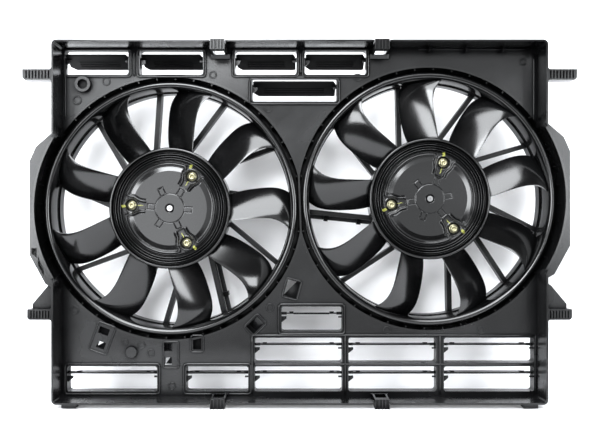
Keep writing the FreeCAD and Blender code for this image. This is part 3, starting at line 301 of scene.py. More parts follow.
def sector_distance(radius, angle):
    """Distance in mm inside the edge of the three sectors of the face; negative in the pockets.

    A sector reaches out to 64.3 mm and sideways to the pockets, whose half width grows from 6 mm at
    their inner end to 11 mm round the screw and 17 mm at the shoulder. Along and across are the
    distances from the axis towards the nearest screw and at right angles to that.
    """
    third = (angle + math.pi / 3) % (2 * math.pi / 3) - math.pi / 3
    along, across = radius * np.cos(third), np.abs(radius * np.sin(third))
    throat = 6.0 + 1.2 * step(along, 42, 6) + 4.2 * step(along, 48, 6) + 5.5 * step(along, 63, 7)
    beside = np.maximum(across - throat, SECTOR_START - along)
    return smooth_least(SECTOR_END - radius, beside), along, across


def hub_depth(radius, angle):
    """Depth of the hub's front in mm behind the rim, at a radius in mm and an angle from a screw.

    It is a sum of soft steps, in this order: the flat face, its raised middle disc with a groove
    round it, a recess round the shaft; a channel with three rounded rings, a deep groove, the
    shoulder and its rounded edge; in each sector a shallow cone, a ridge round the sector and a
    groove inside the ridge; the pockets between the sectors with a rimmed well for each screw; and
    a fine groove along the sides and the outer end of six tabs.
    """
    depth = np.full(radius.shape, FACE_DEPTH)
    depth -= 0.5 * (1 - step(radius, 20.5)) - 0.5 * band(radius, 20.3, 21.1, 0.3)
    depth += 2.2 * (1 - step(radius, 5.8, 0.5))

    depth += 3.4 * step(radius, 66.6, 0.9) * (1 - step(radius, 78.6, 0.7))
    for middle, height in RINGS:
        depth -= height * band(radius, middle - 0.9, middle + 0.9, 0.9)
    depth += 4.5 * band(radius, 79.6, 82.2, 0.5)
    depth -= 1.2 * step(radius, 82.2, 0.6)
    depth += 1.8 * step(radius, 84.9, 1.6) ** 2

    inside, along, across = sector_distance(radius, angle)
    face = 1 - step(radius, 65.6, 0.8)
    outline = np.maximum(step(along, 34.6, 1.0), step(radius, 60, 1.0))
    depth += 1.9 * np.clip((radius - 52.9) / 8.6, 0, 1) * face * step(inside, 4.2, 0.8)
    depth -= 1.1 * band(inside, 0.5, 2.1, 0.8) * face * outline
    depth += 1.5 * band(inside, 2.9, 3.9, 0.8) * face * outline

    depth += 1.8 * (1 - step(inside, -0.6, 0.8)) * face
    circle = np.hypot(along - SCREW_CIRCLE, across)
    depth -= 0.6 * band(circle, 9.0, 10.4, 0.5)
    well = depth + (WELL_DEPTH - depth) * (1 - step(circle, 8.6, 0.5))
    depth = np.where(circle < 9.0, well, depth)

    sixth = (angle + math.pi / 6) % (math.pi / 3) - math.pi / 6
    beside = np.abs(radius * np.sin(sixth))
    tab = band(radius, 21.5, 32.0, 0.4) * (1 - step(beside, 4.3, 0.4))
    depth += 0.7 * tab * np.maximum(step(radius, 31.0, 0.4), step(beside, 3.3, 0.4))
    return depth


print("depth of the face at 45 mm:", hub_depth(np.array([45.0]), np.array([math.pi / 3])).round(1))

# %% The hub's grid
TURN = {"left": math.radians(55.5), "right": math.radians(69)}  # angle of each fan's first screw
HUB_RADII = np.concatenate([np.linspace(4.3, 34, 50), np.linspace(34.5, 65, 62),
                            np.linspace(65.3, 86, 70)])
HUB_WALL = np.array([(86, 36.5), (86, 44), (86, 65.2), (85.4, 66), (84, 66), (83.4, 65.2),
                     (83.4, 44), (81, 41.2), (40, 41.2), (4.3, 41.2)])  # radius and depth


def hub_mesh(side, turns=500):
    """The drum as one grid: front height field, outer wall, rear edge, inner wall and back plate.

    Rows are the radii of the face and then the points of the wall; columns are angles.
    """
    angle = np.linspace(0, 2 * math.pi, turns, endpoint=False)
    r, a = np.meshgrid(HUB_RADII, angle, indexing="ij")
    face = polar(r * MM, a + TURN[side], hub_depth(r, a) * MM, side)
    back = polar(HUB_WALL[:, :1] * MM, angle[None, :] + TURN[side], HUB_WALL[:, 1:] * MM, side)
    return grid_mesh(side + "_hub", np.concatenate([face, back]), wrap_rows=True,
                     wrap_columns=True, flip=True)


print("rows of the hub's grid:", len(HUB_RADII) + len(HUB_WALL))

# %% [markdown]
# ## Fan blades and ring
#
# A blade is a thin wing, and a wing is made from sections: at each radius it has a leading edge, a
# trailing edge, and a bow between them. The sections that the CAD part lofts are joined here with a
# smooth curve through every edge value, so the blade has no crease. One blade is a closed grid that
# runs round the section one way and from hub to ring the other. A flat plate would be quicker, but
# it would catch the light all at once, where a bowed blade shades from edge to edge.

# %% Fan blades
RADII = np.array([79, 107, 136, 160, 180.0])
LEAD = np.array([-1.2, 3.6, 6.0, 4.6, -1.2])
TRAIL = np.array([25, 26.5, 25, 22.4, 16.0])
LEAD_DEPTH = np.array([35, 36, 38.5, 42, 47.0])
TRAIL_DEPTH = np.array([63, 65.5, 66.5, 67, 67.0])
BLADES, FIRST_BLADE = 9, math.radians(-27.4)
BOW, EDGE_HALF, MORE_HALF = 0.09, 0.35, 1.15


def smooth_through(values, radius):
    """A polynomial of the fourth power through the five sections, read at any radius."""
    centre, half = RADII.mean(), np.ptp(RADII) / 2
    fit = np.polyfit((RADII - centre) / half, values, 4)
    return np.polyval(fit, (radius - centre) / half)


def blade_points(rows=46, columns=56, start=83.8, end=172.4):
    """One blade in (radius, angle, depth): a bowed line with thickness laid off on both sides.

    With t from 0 at the leading edge to 1 at the trailing edge, the angle goes evenly from edge to
    edge, the depth follows the chord less a bow of 4 t (1 - t) times 0.09 chords, and the half
    thickness is 0.35 mm plus 1.15 mm times the root of 4 t (1 - t).
    """
    radius = np.linspace(start, end, rows)[:, None]
    turn = np.linspace(0, 2 * math.pi, columns, endpoint=False)[None, :]
    t = 0.5 - 0.5 * np.cos(turn)
    hump = 4 * t * (1 - t)
    lead, trail = smooth_through(LEAD, radius), smooth_through(TRAIL, radius)
    front, rear = smooth_through(LEAD_DEPTH, radius), smooth_through(TRAIL_DEPTH, radius)
    wide = np.radians(trail - lead) * radius
    chord = np.hypot(wide, rear - front)
    camber = BOW * chord * hump
    half = np.sign(np.sin(turn)) * (EDGE_HALF + MORE_HALF * np.sqrt(hump)) * (hump > 1e-6)
    slope = (rear - front) / chord
    angle = np.radians(lead + (trail - lead) * t) - (camber + half) * slope / radius
    depth = front + (rear - front) * t - (camber + half) * wide / chord
    return radius, angle, depth


def blade_meshes(side):
    """Nine blades, evenly spaced from the first one's place."""
    radius, angle, depth = blade_points()
    meshes = []
    for number in range(BLADES):
        turn = TURN[side] + FIRST_BLADE + 2 * math.pi * number / BLADES
        points = polar(radius * MM, angle + turn, depth * MM, side)
        meshes.append(grid_mesh(f"{side}_blade_{number}", points, wrap_columns=True))
    return meshes


print("blades:", BLADES, "points of one:", blade_points()[1].size)

# %% Ring
RING_OUTLINE = np.array([
    (171, 69.6), (171, 62), (171, 51), (171.2, 47), (171.6, 44.4), (172.2, 42.2), (173, 40.5),
    (174, 39.3), (175.2, 38.5), (176.4, 38.1), (177.6, 38.2), (178.8, 38.7), (179.8, 39.4),
    (180.6, 40.3), (181.1, 41.3), (181.3, 42.2), (181, 43), (180.2, 43.2), (177.6, 42.2),
    (175.6, 42.4), (174.2, 44.4), (173.6, 47), (173.5, 52), (173.5, 69.6), (173, 70), (171.5, 70)])


def ring_mesh(side, turns=360):
    """The ring with its flared lip: a closed outline in radius and depth, turned about the axis."""
    angle = np.linspace(0, 2 * math.pi, turns, endpoint=False)[None, :]
    points = polar(RING_OUTLINE[:, :1] * MM, angle, RING_OUTLINE[:, 1:] * MM, side)
    return grid_mesh(side + "_ring", points, wrap_rows=True, wrap_columns=True)


fans, hubs = {}, {}
for side in SIDES:
    whole = joined(side + "_ring_and_blades", [ring_mesh(side), *blade_meshes(side)])
    fans[side] = link(whole, side + "_fan", "fan_plastic", side + "_fan_moulding")
    hubs[side] = link(joined(side + "_hub", [hub_mesh(side)]), side + "_fan", "fan_plastic")
    print(side, "fan faces:", len(whole.data.polygons) + len(hubs[side].data.polygons))

# %% [markdown]
# ## Screws and paint
#
# Each flange screw is a profile turned about its own axis: a wide flange, a domed head and a
# six-lobed drive. When a screw has been tightened it is marked, so a dab of yellow paint lies at
# its outer side and a thinner one runs inwards. A dab is a small patch that follows the hub's own
# height field a hair above it. Painting the mark into the plastic's colour would be simpler, but
# real paint has an edge and a skin of its own, and a patch of mesh has both.

# %% Fan screws
SCREWS = 3
LOBES, LOBE_HEIGHT = 6, 0.3
SCREW_OUTLINE = np.array([
    (0, 35.4), (1.6, 35.4), (2.2, 33.6), (2.7, 33.15), (3.5, 33.05), (4.3, 33.3), (4.7, 34.0),
    (4.8, 35.3), (5.3, 35.9), (6.3, 36.2), (6.6, 36.6), (6.5, 37), (3, 37), (3, 44.6), (2.6, 45),
    (0, 45)])


def screw_mesh(side, number, turns=48):
    """One screw: its outline turned about its own axis, with 0.3 cos(6 angle) mm in the drive."""
    angle = np.linspace(0, 2 * math.pi, turns, endpoint=False)
    profile, depth = SCREW_OUTLINE[:, :1], SCREW_OUTLINE[:, 1:]
    drive = (profile > 1) & (profile < 2.5) & (depth < 36)
    radius = profile + np.where(drive, LOBE_HEIGHT, 0) * np.cos(LOBES * angle)[None, :]
    x, z = axis_of(side)
    place = TURN[side] + 2 * math.pi * number / SCREWS
    points = np.stack([x + (SCREW_CIRCLE * math.cos(place) + radius * np.cos(angle)) * MM,
                       depth * MM + 0 * radius,
                       z + (SCREW_CIRCLE * math.sin(place) + radius * np.sin(angle)) * MM], axis=-1)
    return grid_mesh(f"{side}_screw_{number}", points, wrap_columns=True, flip=True)


print("points of a screw's outline:", len(SCREW_OUTLINE))

# %% Paint dabs
DABS = {"left": (8, 2, 6.5), "right": (3.3, 4.8, 6.6)}  # degrees from each screw to its outer dab
OUTER_DAB = {"radius": 66.0, "length": 7.0, "width": 3.8}
INNER_DAB = {"radius": 42.5, "length": 9.0, "width": 1.0}
PAINT_ABOVE, PAINT_BELOW, SWAY = 0.05, 0.03, 0.4


def dab_mesh(side, number, offset, radius, length, width):
    """A patch of paint over the hub's face, with a top just above the face and an underside in it.

    With t from -1 to 1 along the stroke, its half width is half the width times 1 - t^4, and its
    middle line sways by 0.4 sin(5 t) mm, as a brush does.
    """
    t = np.linspace(-1, 1, 25)[:, None]
    u = np.linspace(-1, 1, 11)[None, :]
    r = radius + t * length / 2 + 0 * u
    swing = (u * width / 2 * (1 - t ** 4) + SWAY * np.sin(5 * t)) / radius
    local = swing + math.radians(offset) + 2 * math.pi * number / SCREWS
    depth = hub_depth(r, local)
    top = polar(r * MM, local + TURN[side], (depth - PAINT_ABOVE) * MM, side)
    under = polar(r * MM, local + TURN[side], (depth + PAINT_BELOW) * MM, side)
    points = np.concatenate([top, under[:, ::-1]], axis=1)
    return grid_mesh(f"{side}_dab_{number}", points, wrap_columns=True)


screws, dabs = {}, {}
for side in SIDES:
    whole = joined(side + "_flange_screws", [screw_mesh(side, n) for n in range(SCREWS)])
    screws[side] = link(whole, side + "_fan", "yellow_zinc", side + "_fan_screws")
    patches = []
    for number, offset in enumerate(DABS[side]):
        patches.append(dab_mesh(side, number, offset, **OUTER_DAB))
        patches.append(dab_mesh(side, number, -1.5 + offset / 5, **INNER_DAB))
    dabs[side] = link(joined(side + "_paint_marks", patches), side + "_fan", "fan_plastic")
    print(side, "fan: screws", SCREWS, "dabs", len(patches))

# %% [markdown]
# ## Beads, marks and small ledges of the tray
#
# The floor of the tray is not bare. A low round bead runs round every window and along the bars
# between them, ejector pins have left faint rings, and short ledges guard the clips. A bead is a
# small ellipse swept along a path with rounded corners. A curve object with a round bevel would do
# the same, but a grid made here is a plain closed mesh from the start. All of it is one moulding
# with the tray.

# %% Path and bead
FLOOR, SUNK = 40.0, 0.3  # the floor's depth behind the rim, and how far a bead lies in it


def rounded_path(corners, radius, steps=6):
    """Points round a closed outline whose corners are replaced by arcs of about a given radius.

    At a corner with unit directions a to the one before and b to the one after, the arc is drawn
    as the curve (1 - t)^2 A + 2 t (1 - t) C + t^2 B between points A and B on the two legs.
    """
    corners = np.array(corners, float)
    points = []
    for number, corner in enumerate(corners):
        before = corners[number - 1] - corner
        after = corners[(number + 1) % len(corners)] - corner
        start = corner + before / np.linalg.norm(before) * radius
        end = corner + after / np.linalg.norm(after) * radius
        t = np.linspace(0, 1, steps)[:, None]
        points.append((1 - t) ** 2 * start + 2 * t * (1 - t) * corner + t ** 2 * end)
    return np.concatenate(points)


def bead(path, half=1.6, rise=1.9, closed=True, around=10):
    """A closed tube of elliptic section along a path in the floor's plane, sunk a little into it.

    At an angle s round the section, a point lies half cos s beside the path and rise sin s above
    the floor, or 0.3 sin s below it. The ends of an open path are points.
    """
    size = np.ones(len(path))
    if closed:
        along = np.roll(path, -1, axis=0) - np.roll(path, 1, axis=0)
    else:
        along = np.gradient(path, axis=0)
        size[[0, -1]] = 0
    along /= np.linalg.norm(along, axis=1, keepdims=True)
    normal = np.stack([-along[:, 1], along[:, 0]], axis=-1)
    turn = np.linspace(0, 2 * math.pi, around, endpoint=False)
    beside = half * np.cos(turn)
    lift = np.where(np.sin(turn) > 0, rise, SUNK) * np.sin(turn)
    x = path[:, :1] + normal[:, :1] * beside * size[:, None]
    z = path[:, 1:] + normal[:, 1:] * beside * size[:, None]
    points = np.stack([x, FLOOR - lift * size[:, None], z], axis=-1) * MM
    return grid_mesh("bead", points, wrap_rows=closed, wrap_columns=True)


def rectangle(left, right, low, high, turn=0.0):
    """The corners of a rectangle, turned about its middle by an angle in degrees."""
    middle = np.array([(left + right) / 2, (low + high) / 2])
    corners = np.array([(left, low), (right, low), (right, high), (left, high)]) - middle
    c, s = math.cos(math.radians(turn)), math.sin(math.radians(turn))
    return corners @ np.array([(c, s), (-s, c)]) + middle


def bar(start, end, count=12):
    """A straight bead between two points, as full as the rest up to a little before its ends.

    The places t along it run from 0 to 1; the second and the last but one are drawn towards the
    ends, where the bead runs out to a point.
    """
    t = np.linspace(0, 1, count)[:, None]
    t = np.clip((t - 0.08) / 0.84, 0, 1) * 0.98 + 0.01 * (1 + np.sign(t - 0.5))
    return bead(np.array(start) + (np.array(end) - np.array(start)) * t, closed=False)


def ring_path(x, z, radius, count=40):
    """A circle in the floor's plane."""
    angle = np.linspace(0, 2 * math.pi, count, endpoint=False)
    return np.stack([x + radius * np.cos(angle), z + radius * np.sin(angle)], axis=-1)


def block(low, high, slope=0.0):
    """A block between two corners; slope moves the lower edge of its front away from the camera."""
    x, y, z = zip(low, high)
    corners = [(x[i], y[j] + (slope if j == 0 and k == 0 else 0), z[k])
               for i in (0, 1) for j in (0, 1) for k in (0, 1)]
    faces = [(0, 1, 3, 2), (4, 6, 7, 5), (0, 4, 5, 1), (2, 3, 7, 6), (0, 2, 6, 4), (1, 5, 7, 3)]
    mesh = bpy.data.meshes.new("block")
    mesh.from_pydata([tuple(v * MM for v in corner) for corner in corners], [], faces)
    return mesh


print("points of a window's path:", len(rounded_path(rectangle(0, 40, 0, 20), 5)))

# %% Places of the beads, marks and ledges
WINDOW_BEADS = ((-335.6, -240.4, 457.4, 496.2), (-231.6, -134.2, 457.4, 496.2),
                (-95.6, -1.6, 457.4, 496.2), (4.6, 98.6, 457.4, 496.2),
                (-71.2, 56.8, 418.6, 454.6), (-29.6, 64.2, 90.6, 132.8),
                (-334.8, -199.4, 4.6, 47.6), (-165.2, -69.4, 4.6, 47.6))
BARS = (((-236.0, 458), (-236.0, 495)), ((1.5, 462), (1.5, 495)), ((65.2, 3.4), (65.2, 88.6)),
        ((200.4, 3.4), (200.4, 88.6)), ((-67.6, 46.9), (335.6, 46.9)), ((-67.6, 88.4), (336, 88.4)),
        ((-67.6, 3.4), (-67.6, 88.4)), ((336.4, 3.4), (336.4, 88.4)), ((-334, 480.6), (-334, 396)),
        ((334.4, 396), (334.4, 490)), ((168, 496.4), (332, 496.4)))
PIN_MARKS = ((-275.6, 450.5, 5.2), (-317.2, 423.7, 5.6), (-123.5, 460, 4.6), (-45, 412.8, 5.4),
             (-42.2, 128, 5.2), (82.9, 456.5, 5), (-320.8, 123.9, 5.2), (-249.2, 78.7, 4.2),
             (-225.5, 74.5, 4.8), (-212.1, 63.1, 4.8), (-182.1, 16, 4.8), (124.9, 95.9, 5),
             (259.1, 95.9, 5), (319, 478.5, 4.4))
# middle x and z, width, height, turn in degrees and corner radius
POCKET_RIMS = ((-63.2, 103.3, 28, 20, 45, 5), (-146.2, 76.4, 18, 24, 0, 4),
               (-10.8, 154.4, 22, 28, -15, 3), (-281.4, 84.4, 26, 42, -20, 3),
               (-183.4, 60.6, 22, 38, 0, 3))
WINDOW_CORNER = 5
MARK_SECTION, RIM_SECTION = (0.8, 0.8), (1.1, 1.2)  # half width and rise

# blocks at each clip: two corners, with x from the clip's middle, and the slope of the front
CLIP_X = 113.0
CLIP_BLOCKS = (((-13, 33, 482.6), (14, 40.2, 487.8), 5), ((-12, 31, 2.4), (12, 40.2, 6.9), 6),
               ((10.9, 0.4, 497.5), (14.2, 24.2, 499.9), 0),
               ((10.9, 0.4, 0.1), (14.2, 24.2, 2.5), 0),
               ((-14.2, 0.4, 497.5), (-10.9, 24.2, 499.9), 0),
               ((-14.2, 0.4, 0.1), (-10.9, 24.2, 2.5), 0))
STOPS = ((341.4, 177), (341.4, 389), (-340.6, 163.6), (-340.6, 375.6))
STOP_HALF, STOP_NEAR, STOP_FAR = (3, 5), 23, 40.5
print("windows, bars and marks:", len(WINDOW_BEADS), len(BARS), len(PIN_MARKS))

# %% Beads, marks and ledges
lines = [bead(rounded_path(rectangle(*box), WINDOW_CORNER)) for box in WINDOW_BEADS]
lines += [bar(*ends) for ends in BARS]
lines += [bead(ring_path(*mark), *MARK_SECTION) for mark in PIN_MARKS]
for x, z, width, height, turn, corner in POCKET_RIMS:
    outline = rectangle(x - width / 2, x + width / 2, z - height / 2, z + height / 2, turn)
    lines.append(bead(rounded_path(outline, corner), *RIM_SECTION))
for clip_x in (-CLIP_X, CLIP_X):
    for low, high, slope in CLIP_BLOCKS:
        lines.append(block((clip_x + low[0], *low[1:]), (clip_x + high[0], *high[1:]), slope))
for x, z in STOPS:
    lines.append(block((x - STOP_HALF[0], STOP_NEAR, z - STOP_HALF[1]),
                       (x + STOP_HALF[0], STOP_FAR, z + STOP_HALF[1])))
tray_lines = link(joined("tray_beads_and_ledges", lines), "shroud", "panel_plastic")
print("beads, marks and ledges:", len(lines), "faces:", len(tray_lines.data.polygons))

# %% [markdown]
# ## Black plastics
#
# All the plastic is black, yet no two mouldings look alike: what tells them apart is how rough the
# skin is and how much it reflects. The tray is filled with glass fibre, so it is satin, with faint
# flow marks and pale scuffs. The fans are smoother and shine. Each material mixes two noises, one
# large for the flow marks and one very small for the grain, and sends them to the colour, the
# roughness and the bump.
#
# An Ambient Occlusion node finds tight corners and lowers the specular level there. This is painted
# shade, which makes grooves and joints read as dark lines.

# %% Plastic material


def node_tree(name):
    """A new material's nodes and a function that adds a node with its settings."""
    material = bpy.data.materials.new(name)
    material.use_nodes = True
    tree = material.node_tree
    tree.nodes.clear()

    def add(kind, inputs=None, **settings):
        node = tree.nodes.new(kind)
        for key, value in settings.items():
            setattr(node, key, value)
        for key, value in (inputs or {}).items():
            if isinstance(value, bpy.types.NodeSocket):
                tree.links.new(value, node.inputs[key])
            else:
                node.inputs[key].default_value = value
        return node

    return material, add


FLOW_SCALE = (9, 9, 9)
FLOW_LOW, FLOW_HIGH = 0.3, 0.7      # between these a noise mostly lies
# painted shade in creases: where the Ambient Occlusion value falls to the first, the specular level falls to the
# second
FULL_SHADE_OPENNESS, PAINTED_SHADE_SHINE = 0.62, 0.02  # open air at which a corner's shine is gone, and what is left
SATIN_TINT = (1.0, 1.02, 1.08)      # a black that leans to blue
GRAIN_HEIGHT = 0.0001


def plastic(name, dark, pale, rough, spread, grain, grain_scale=1500, tint=SATIN_TINT, shine=0.5,
            crease_shade_reach=0.010):
    """A moulded plastic or paint.

    Its colour is tint times a level from dark to pale, its roughness is rough give or take spread,
    its specular level is shine in the open and, as painted shade, almost nothing in corners narrower
    than the reach of the Ambient Occlusion.
    """
    material, add = node_tree(name)
    place = add("ShaderNodeTexCoord").outputs["Object"]
    flow_place = add("ShaderNodeMapping", {"Vector": place, "Scale": FLOW_SCALE}).outputs["Vector"]
    flow = add("ShaderNodeTexNoise", {"Vector": flow_place, "Scale": 1.0, "Detail": 4.0,
                                      "Roughness": 0.55, "Distortion": 0.6}).outputs["Fac"]
    fine = add("ShaderNodeTexNoise", {"Vector": place, "Scale": grain_scale, "Detail": 2.0,
                                      "Roughness": 0.6}).outputs["Fac"]
    shade = add("ShaderNodeValToRGB", {"Fac": flow})
    shade.color_ramp.elements[0].position, shade.color_ramp.elements[1].position = 0.35, 0.7
    shade.color_ramp.elements[0].color = (*[dark * level for level in tint], 1)
    shade.color_ramp.elements[1].color = (*[pale * level for level in tint], 1)
    gloss = add("ShaderNodeMapRange", {"Value": flow, "From Min": FLOW_LOW, "From Max": FLOW_HIGH,
                                       "To Min": rough - spread, "To Max": rough + spread})
    bump = add("ShaderNodeBump", {"Height": fine, "Strength": grain, "Distance": GRAIN_HEIGHT})
    # painted shade: the specular level drops in the creases that the Ambient Occlusion finds
    crease_shade_openness = add("ShaderNodeAmbientOcclusion", {"Distance": crease_shade_reach}, samples=6).outputs["AO"]
    shine_with_painted_shade = add("ShaderNodeMapRange",
               {"Value": crease_shade_openness, "From Min": FULL_SHADE_OPENNESS, "From Max": 1.0,
                "To Min": PAINTED_SHADE_SHINE, "To Max": shine}).outputs["Result"]
    shader = add("ShaderNodeBsdfPrincipled", {"Base Color": shade.outputs["Color"],
                                              "Roughness": gloss.outputs["Result"],
                                              "Specular IOR Level": shine_with_painted_shade,
                                              "Normal": bump.outputs["Normal"]})
    add("ShaderNodeOutputMaterial", {"Surface": shader.outputs["BSDF"]})
    return material


panel_plastic = plastic("satin_tray_plastic", dark=0.002, pale=0.006, rough=0.23, spread=0.09,
                        grain=0.10, shine=0.42)
flap_plastic = plastic("flap_plastic", dark=0.002, pale=0.004, rough=0.34, spread=0.05,
                       grain=0.12, shine=0.12)
barrel_plastic = plastic("barrel_plastic", dark=0.001, pale=0.003, rough=0.24, spread=0.05,
                         grain=0.12)
fan_plastic = plastic("fan_plastic", dark=0.001, pale=0.003, rough=0.16, spread=0.03,
                      grain=0.05, shine=0.55, crease_shade_reach=0.004)
carrier_plastic = plastic("carrier_plastic", dark=0.002, pale=0.004, rough=0.36, spread=0.05,
                          grain=0.12, shine=0.2)
plug_plastic = plastic("plug_plastic", dark=0.02, pale=0.03, rough=0.45, spread=0.05, grain=0.2)
print("plastics:", len(bpy.data.materials))

# %% Dress the mouldings


def dress(piece, material):
    """Give a piece one material in all its slots."""
    if not piece.material_slots:
        piece.data.materials.append(material)
    for place in piece.material_slots:
        place.material = material


for node, piece in moulded.items():
    dress(piece, flap_plastic if node.endswith("_flap") else panel_plastic)
for side in SIDES:
    dress(fans[side], fan_plastic)
    dress(hubs[side], fan_plastic)
    dress(moulded[side + "_fan_barrel"], barrel_plastic)
    dress(moulded[side + "_motor_carrier"], carrier_plastic)
    dress(moulded[side + "_plug"], plug_plastic)
dress(tray_lines, panel_plastic)
print("pieces in plastic:", len(moulded) + len(fans) + len(hubs) + 1)

# %% [markdown]
# ## Metals
#
# The screws are zinc plated and passivated to a dull yellow, the shaft is ground, and the housings
# are die-cast aluminium with the fine pebble that a die leaves. A metal shows no colour but that of
# its reflections, so Metallic is 1 and the colour tints them. What then tells a ground shaft from a
# casting is roughness and grain, so one function makes them all.

# %% Metal material
METAL_GRAIN_SCALE, CLOUD_SCALE = 900, 60.0
WORN = 0.75  # the darkest part of a metal, as a share of its colour


def metal(name, colour, rough, spread, grain):
    """A bare or plated metal: roughness is rough give or take spread, with a fine bump."""
    material, add = node_tree(name)
    place = add("ShaderNodeTexCoord").outputs["Object"]
    cloud = add("ShaderNodeTexNoise",
                {"Vector": place, "Scale": CLOUD_SCALE, "Detail": 4.0}).outputs["Fac"]
    fine = add("ShaderNodeTexNoise", {"Vector": place, "Scale": METAL_GRAIN_SCALE}).outputs["Fac"]
    gloss = add("ShaderNodeMapRange", {"Value": cloud, "From Min": FLOW_LOW, "From Max": FLOW_HIGH,
                                       "To Min": rough - spread, "To Max": rough + spread})
    tint = add("ShaderNodeValToRGB", {"Fac": cloud})
    tint.color_ramp.elements[0].color = (*[c * WORN for c in colour], 1)
    tint.color_ramp.elements[1].color = (*colour, 1)
    bump = add("ShaderNodeBump", {"Height": fine, "Strength": grain, "Distance": GRAIN_HEIGHT})
    shader = add("ShaderNodeBsdfPrincipled", {"Base Color": tint.outputs["Color"], "Metallic": 1.0,
                                              "Roughness": gloss.outputs["Result"],
                                              "Normal": bump.outputs["Normal"]})
    add("ShaderNodeOutputMaterial", {"Surface": shader.outputs["BSDF"]})
    return material


cast_aluminium = metal("cast_aluminium", (0.55, 0.55, 0.57), rough=0.5, spread=0.08, grain=0.5)
yellow_zinc = metal("yellow_zinc", (0.36, 0.34, 0.22), rough=0.34, spread=0.06, grain=0.15)
bright_zinc = metal("bright_zinc", (0.62, 0.63, 0.65), rough=0.32, spread=0.06, grain=0.15)
ground_steel = metal("ground_steel", (0.42, 0.42, 0.42), rough=0.22, spread=0.04, grain=0.1)
core_steel = metal("core_steel", (0.35, 0.34, 0.34), rough=0.5, spread=0.08, grain=0.3)
black_steel = metal("black_steel", (0.10, 0.10, 0.11), rough=0.42, spread=0.06, grain=0.2)
print("materials with the metals:", len(bpy.data.materials))

# %% Cable sleeve, paint and the small parts
cable_sleeve = plastic("cable_sleeve", dark=0.012, pale=0.02, rough=0.7, spread=0.05, grain=0.8,
                       grain_scale=700)
mark_paint = plastic("mark_paint", dark=0.16, pale=0.30, rough=0.5, spread=0.05, grain=0.2,
                     tint=(1.0, 1.02, 0.22))

FINISH = {"motor_screws": bright_zinc, "motor_shaft": ground_steel,
          "rotor_can": black_steel, "stator_core": core_steel, "motor_bearings": ground_steel,
          "cable": cable_sleeve, "cable_clips": flap_plastic}
for side in SIDES:
    for part, material in FINISH.items():
        dress(frame["nodes"][f"{side}_{part}"], material)
    dress(moulded[side + "_motor_housing"], cast_aluminium)
    dress(screws[side], yellow_zinc)
    dress(dabs[side], mark_paint)
print("materials:", len(bpy.data.materials))

# %% [markdown]
# ## Studio
#
# The shroud stands upright on a pale floor, close in front of a pale wall. Large soft lamps light
# it from above and from both sides; weaker ones stand in front, for the hubs and the lower edge,
# and two light its back. Both papers glow faintly for the camera alone, which makes them white less
# the shadow that lies on them. The wall lets a camera behind it look through. The world is white to
# the camera and dim to everything else, because black plastic would reflect a white one as grey.
# A single bright world would be simpler than nine lamps, but only lamps in known places put the
# streaks of light on the glossy hubs and blades where they belong.

# %% Floor and wall
PAPER, GLOW = (0.86, 0.86, 0.87, 1), 0.10
WHITE = (1, 1, 1, 1)
REACH, FLOOR_NEAR = 1.0, -0.3
GROUND, WALL_PLACE = cad_low.z - 0.0005, cad_high.y + 0.004


def studio_plane(name, corners):
    """A rectangle of the stage from its four corners."""
    mesh = bpy.data.meshes.new(name)
    mesh.from_pydata(corners, [], [(0, 1, 2, 3)])
    plane = bpy.data.objects.new(name, mesh)
    bpy.context.scene.collection.objects.link(plane)
    return plane


def studio_paper(name, see_through):
    """White paper: a diffuse sheet, brightened for the camera only, clear seen from behind."""
    material, add = node_tree(name)
    path = add("ShaderNodeLightPath")
    sheet = add("ShaderNodeBsdfDiffuse", {"Color": PAPER}).outputs["BSDF"]
    glow = add("ShaderNodeEmission", {"Color": WHITE, "Strength": GLOW}).outputs["Emission"]
    lit = add("ShaderNodeAddShader", {0: sheet, 1: glow}).outputs["Shader"]
    front = add("ShaderNodeMixShader", {"Fac": path.outputs["Is Camera Ray"], 1: sheet, 2: lit})
    surface = front.outputs["Shader"]
    if see_through:
        clear = add("ShaderNodeBsdfTransparent").outputs["BSDF"]
        rear = add("ShaderNodeNewGeometry").outputs["Backfacing"]
        hidden = add("ShaderNodeMath", {0: rear, 1: path.outputs["Is Shadow Ray"]},
                     operation="MAXIMUM").outputs["Value"]
        seen = add("ShaderNodeMixShader", {"Fac": hidden, 1: surface, 2: clear})
        surface = seen.outputs["Shader"]
    add("ShaderNodeOutputMaterial", {"Surface": surface})
    return material


floor = studio_plane("floor", [(-REACH, FLOOR_NEAR, GROUND), (REACH, FLOOR_NEAR, GROUND),
                               (REACH, REACH, GROUND), (-REACH, REACH, GROUND)])
wall = studio_plane("wall", [(-REACH, WALL_PLACE, GROUND), (REACH, WALL_PLACE, GROUND),
                             (REACH, WALL_PLACE, REACH), (-REACH, WALL_PLACE, REACH)])
dress(floor, studio_paper("floor_paper", False))
dress(wall, studio_paper("wall_paper", True))
print("wall stands at", round(1000 * WALL_PLACE), "mm")

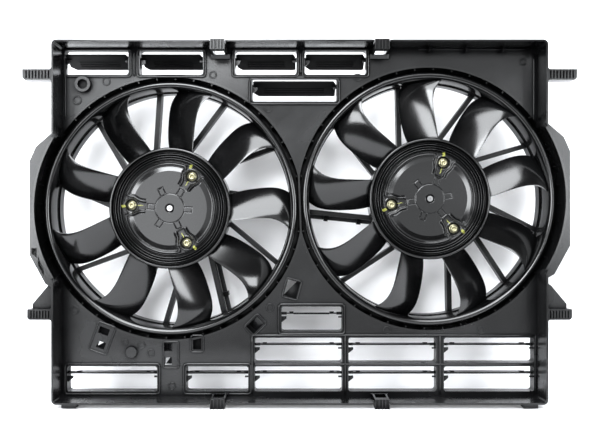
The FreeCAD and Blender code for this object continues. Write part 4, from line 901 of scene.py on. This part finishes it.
# %% Lamps
MIDDLE = (0, 0.03, 0.25)
LAMPS = (  # name, place, target, size in metres, power in watts
    ("top_lamp", (0.0, -0.8, 1.9), MIDDLE, 1.5, 85),
    ("left_lamp", (-1.15, -1.2, 0.42), MIDDLE, 0.7, 24),
    ("right_lamp", (1.15, -1.2, 0.42), MIDDLE, 0.6, 16),
    ("front_lamp", (0.05, -2.0, 0.75), (0.05, 0, 0.75), 2.1, 18),
    ("hub_lamp", (-0.6, -1.95, 0.3), (-0.2, 0, 0.27), 0.6, 3.4),
    ("low_lamp", (-0.75, -2.0, -0.3), (-0.2, 0, 0.1), 0.9, 1.0),
    ("crest_lamp", (-0.4, -1.5, 1.2), MIDDLE, 0.7, 34),
    ("rear_top_lamp", (0.3, 1.3, 1.5), MIDDLE, 1.0, 18),
    ("rear_low_lamp", (-1.0, 1.4, 0.5), MIDDLE, 1.0, 10),
)
LAMP_COLOUR = (0.95, 0.975, 1.0)


def soft_lamp(name, place, target, size, power):
    """A square area lamp at a place, turned to face a target."""
    light = bpy.data.lights.new(name, "AREA")
    light.shape, light.size, light.energy = "SQUARE", size, power
    light.color = LAMP_COLOUR
    lamp = bpy.data.objects.new(name, light)
    lamp.location = place
    lamp.rotation_euler = (Vector(target) - Vector(place)).to_track_quat("-Z", "Y").to_euler()
    bpy.context.scene.collection.objects.link(lamp)


for row in LAMPS:
    soft_lamp(*row)
print("lamps:", len(bpy.data.lights))

# %% World
WORLD_LIGHT, WORLD_SEEN = 0.12, 1.0

world = bpy.data.worlds.new("studio")
bpy.context.scene.world = world
world.use_nodes = True
nodes, links = world.node_tree.nodes, world.node_tree.links
path = nodes.new("ShaderNodeLightPath")
level = nodes.new("ShaderNodeMapRange")
level.inputs["To Min"].default_value = WORLD_LIGHT
level.inputs["To Max"].default_value = WORLD_SEEN
links.new(path.outputs["Is Camera Ray"], level.inputs["Value"])
links.new(level.outputs["Result"], nodes["Background"].inputs["Strength"])
nodes["Background"].inputs["Color"].default_value = WHITE
bpy.context.scene.view_settings.view_transform = "Standard"
print("world strength for light and for the camera:", WORLD_LIGHT, WORLD_SEEN)

# %% [markdown]
# ## Finish
#
# Every new piece lies within the part's own box, so the size of all that is seen should agree with
# the size of the CAD part. The cell below only imports json.

# %% Finish
import json
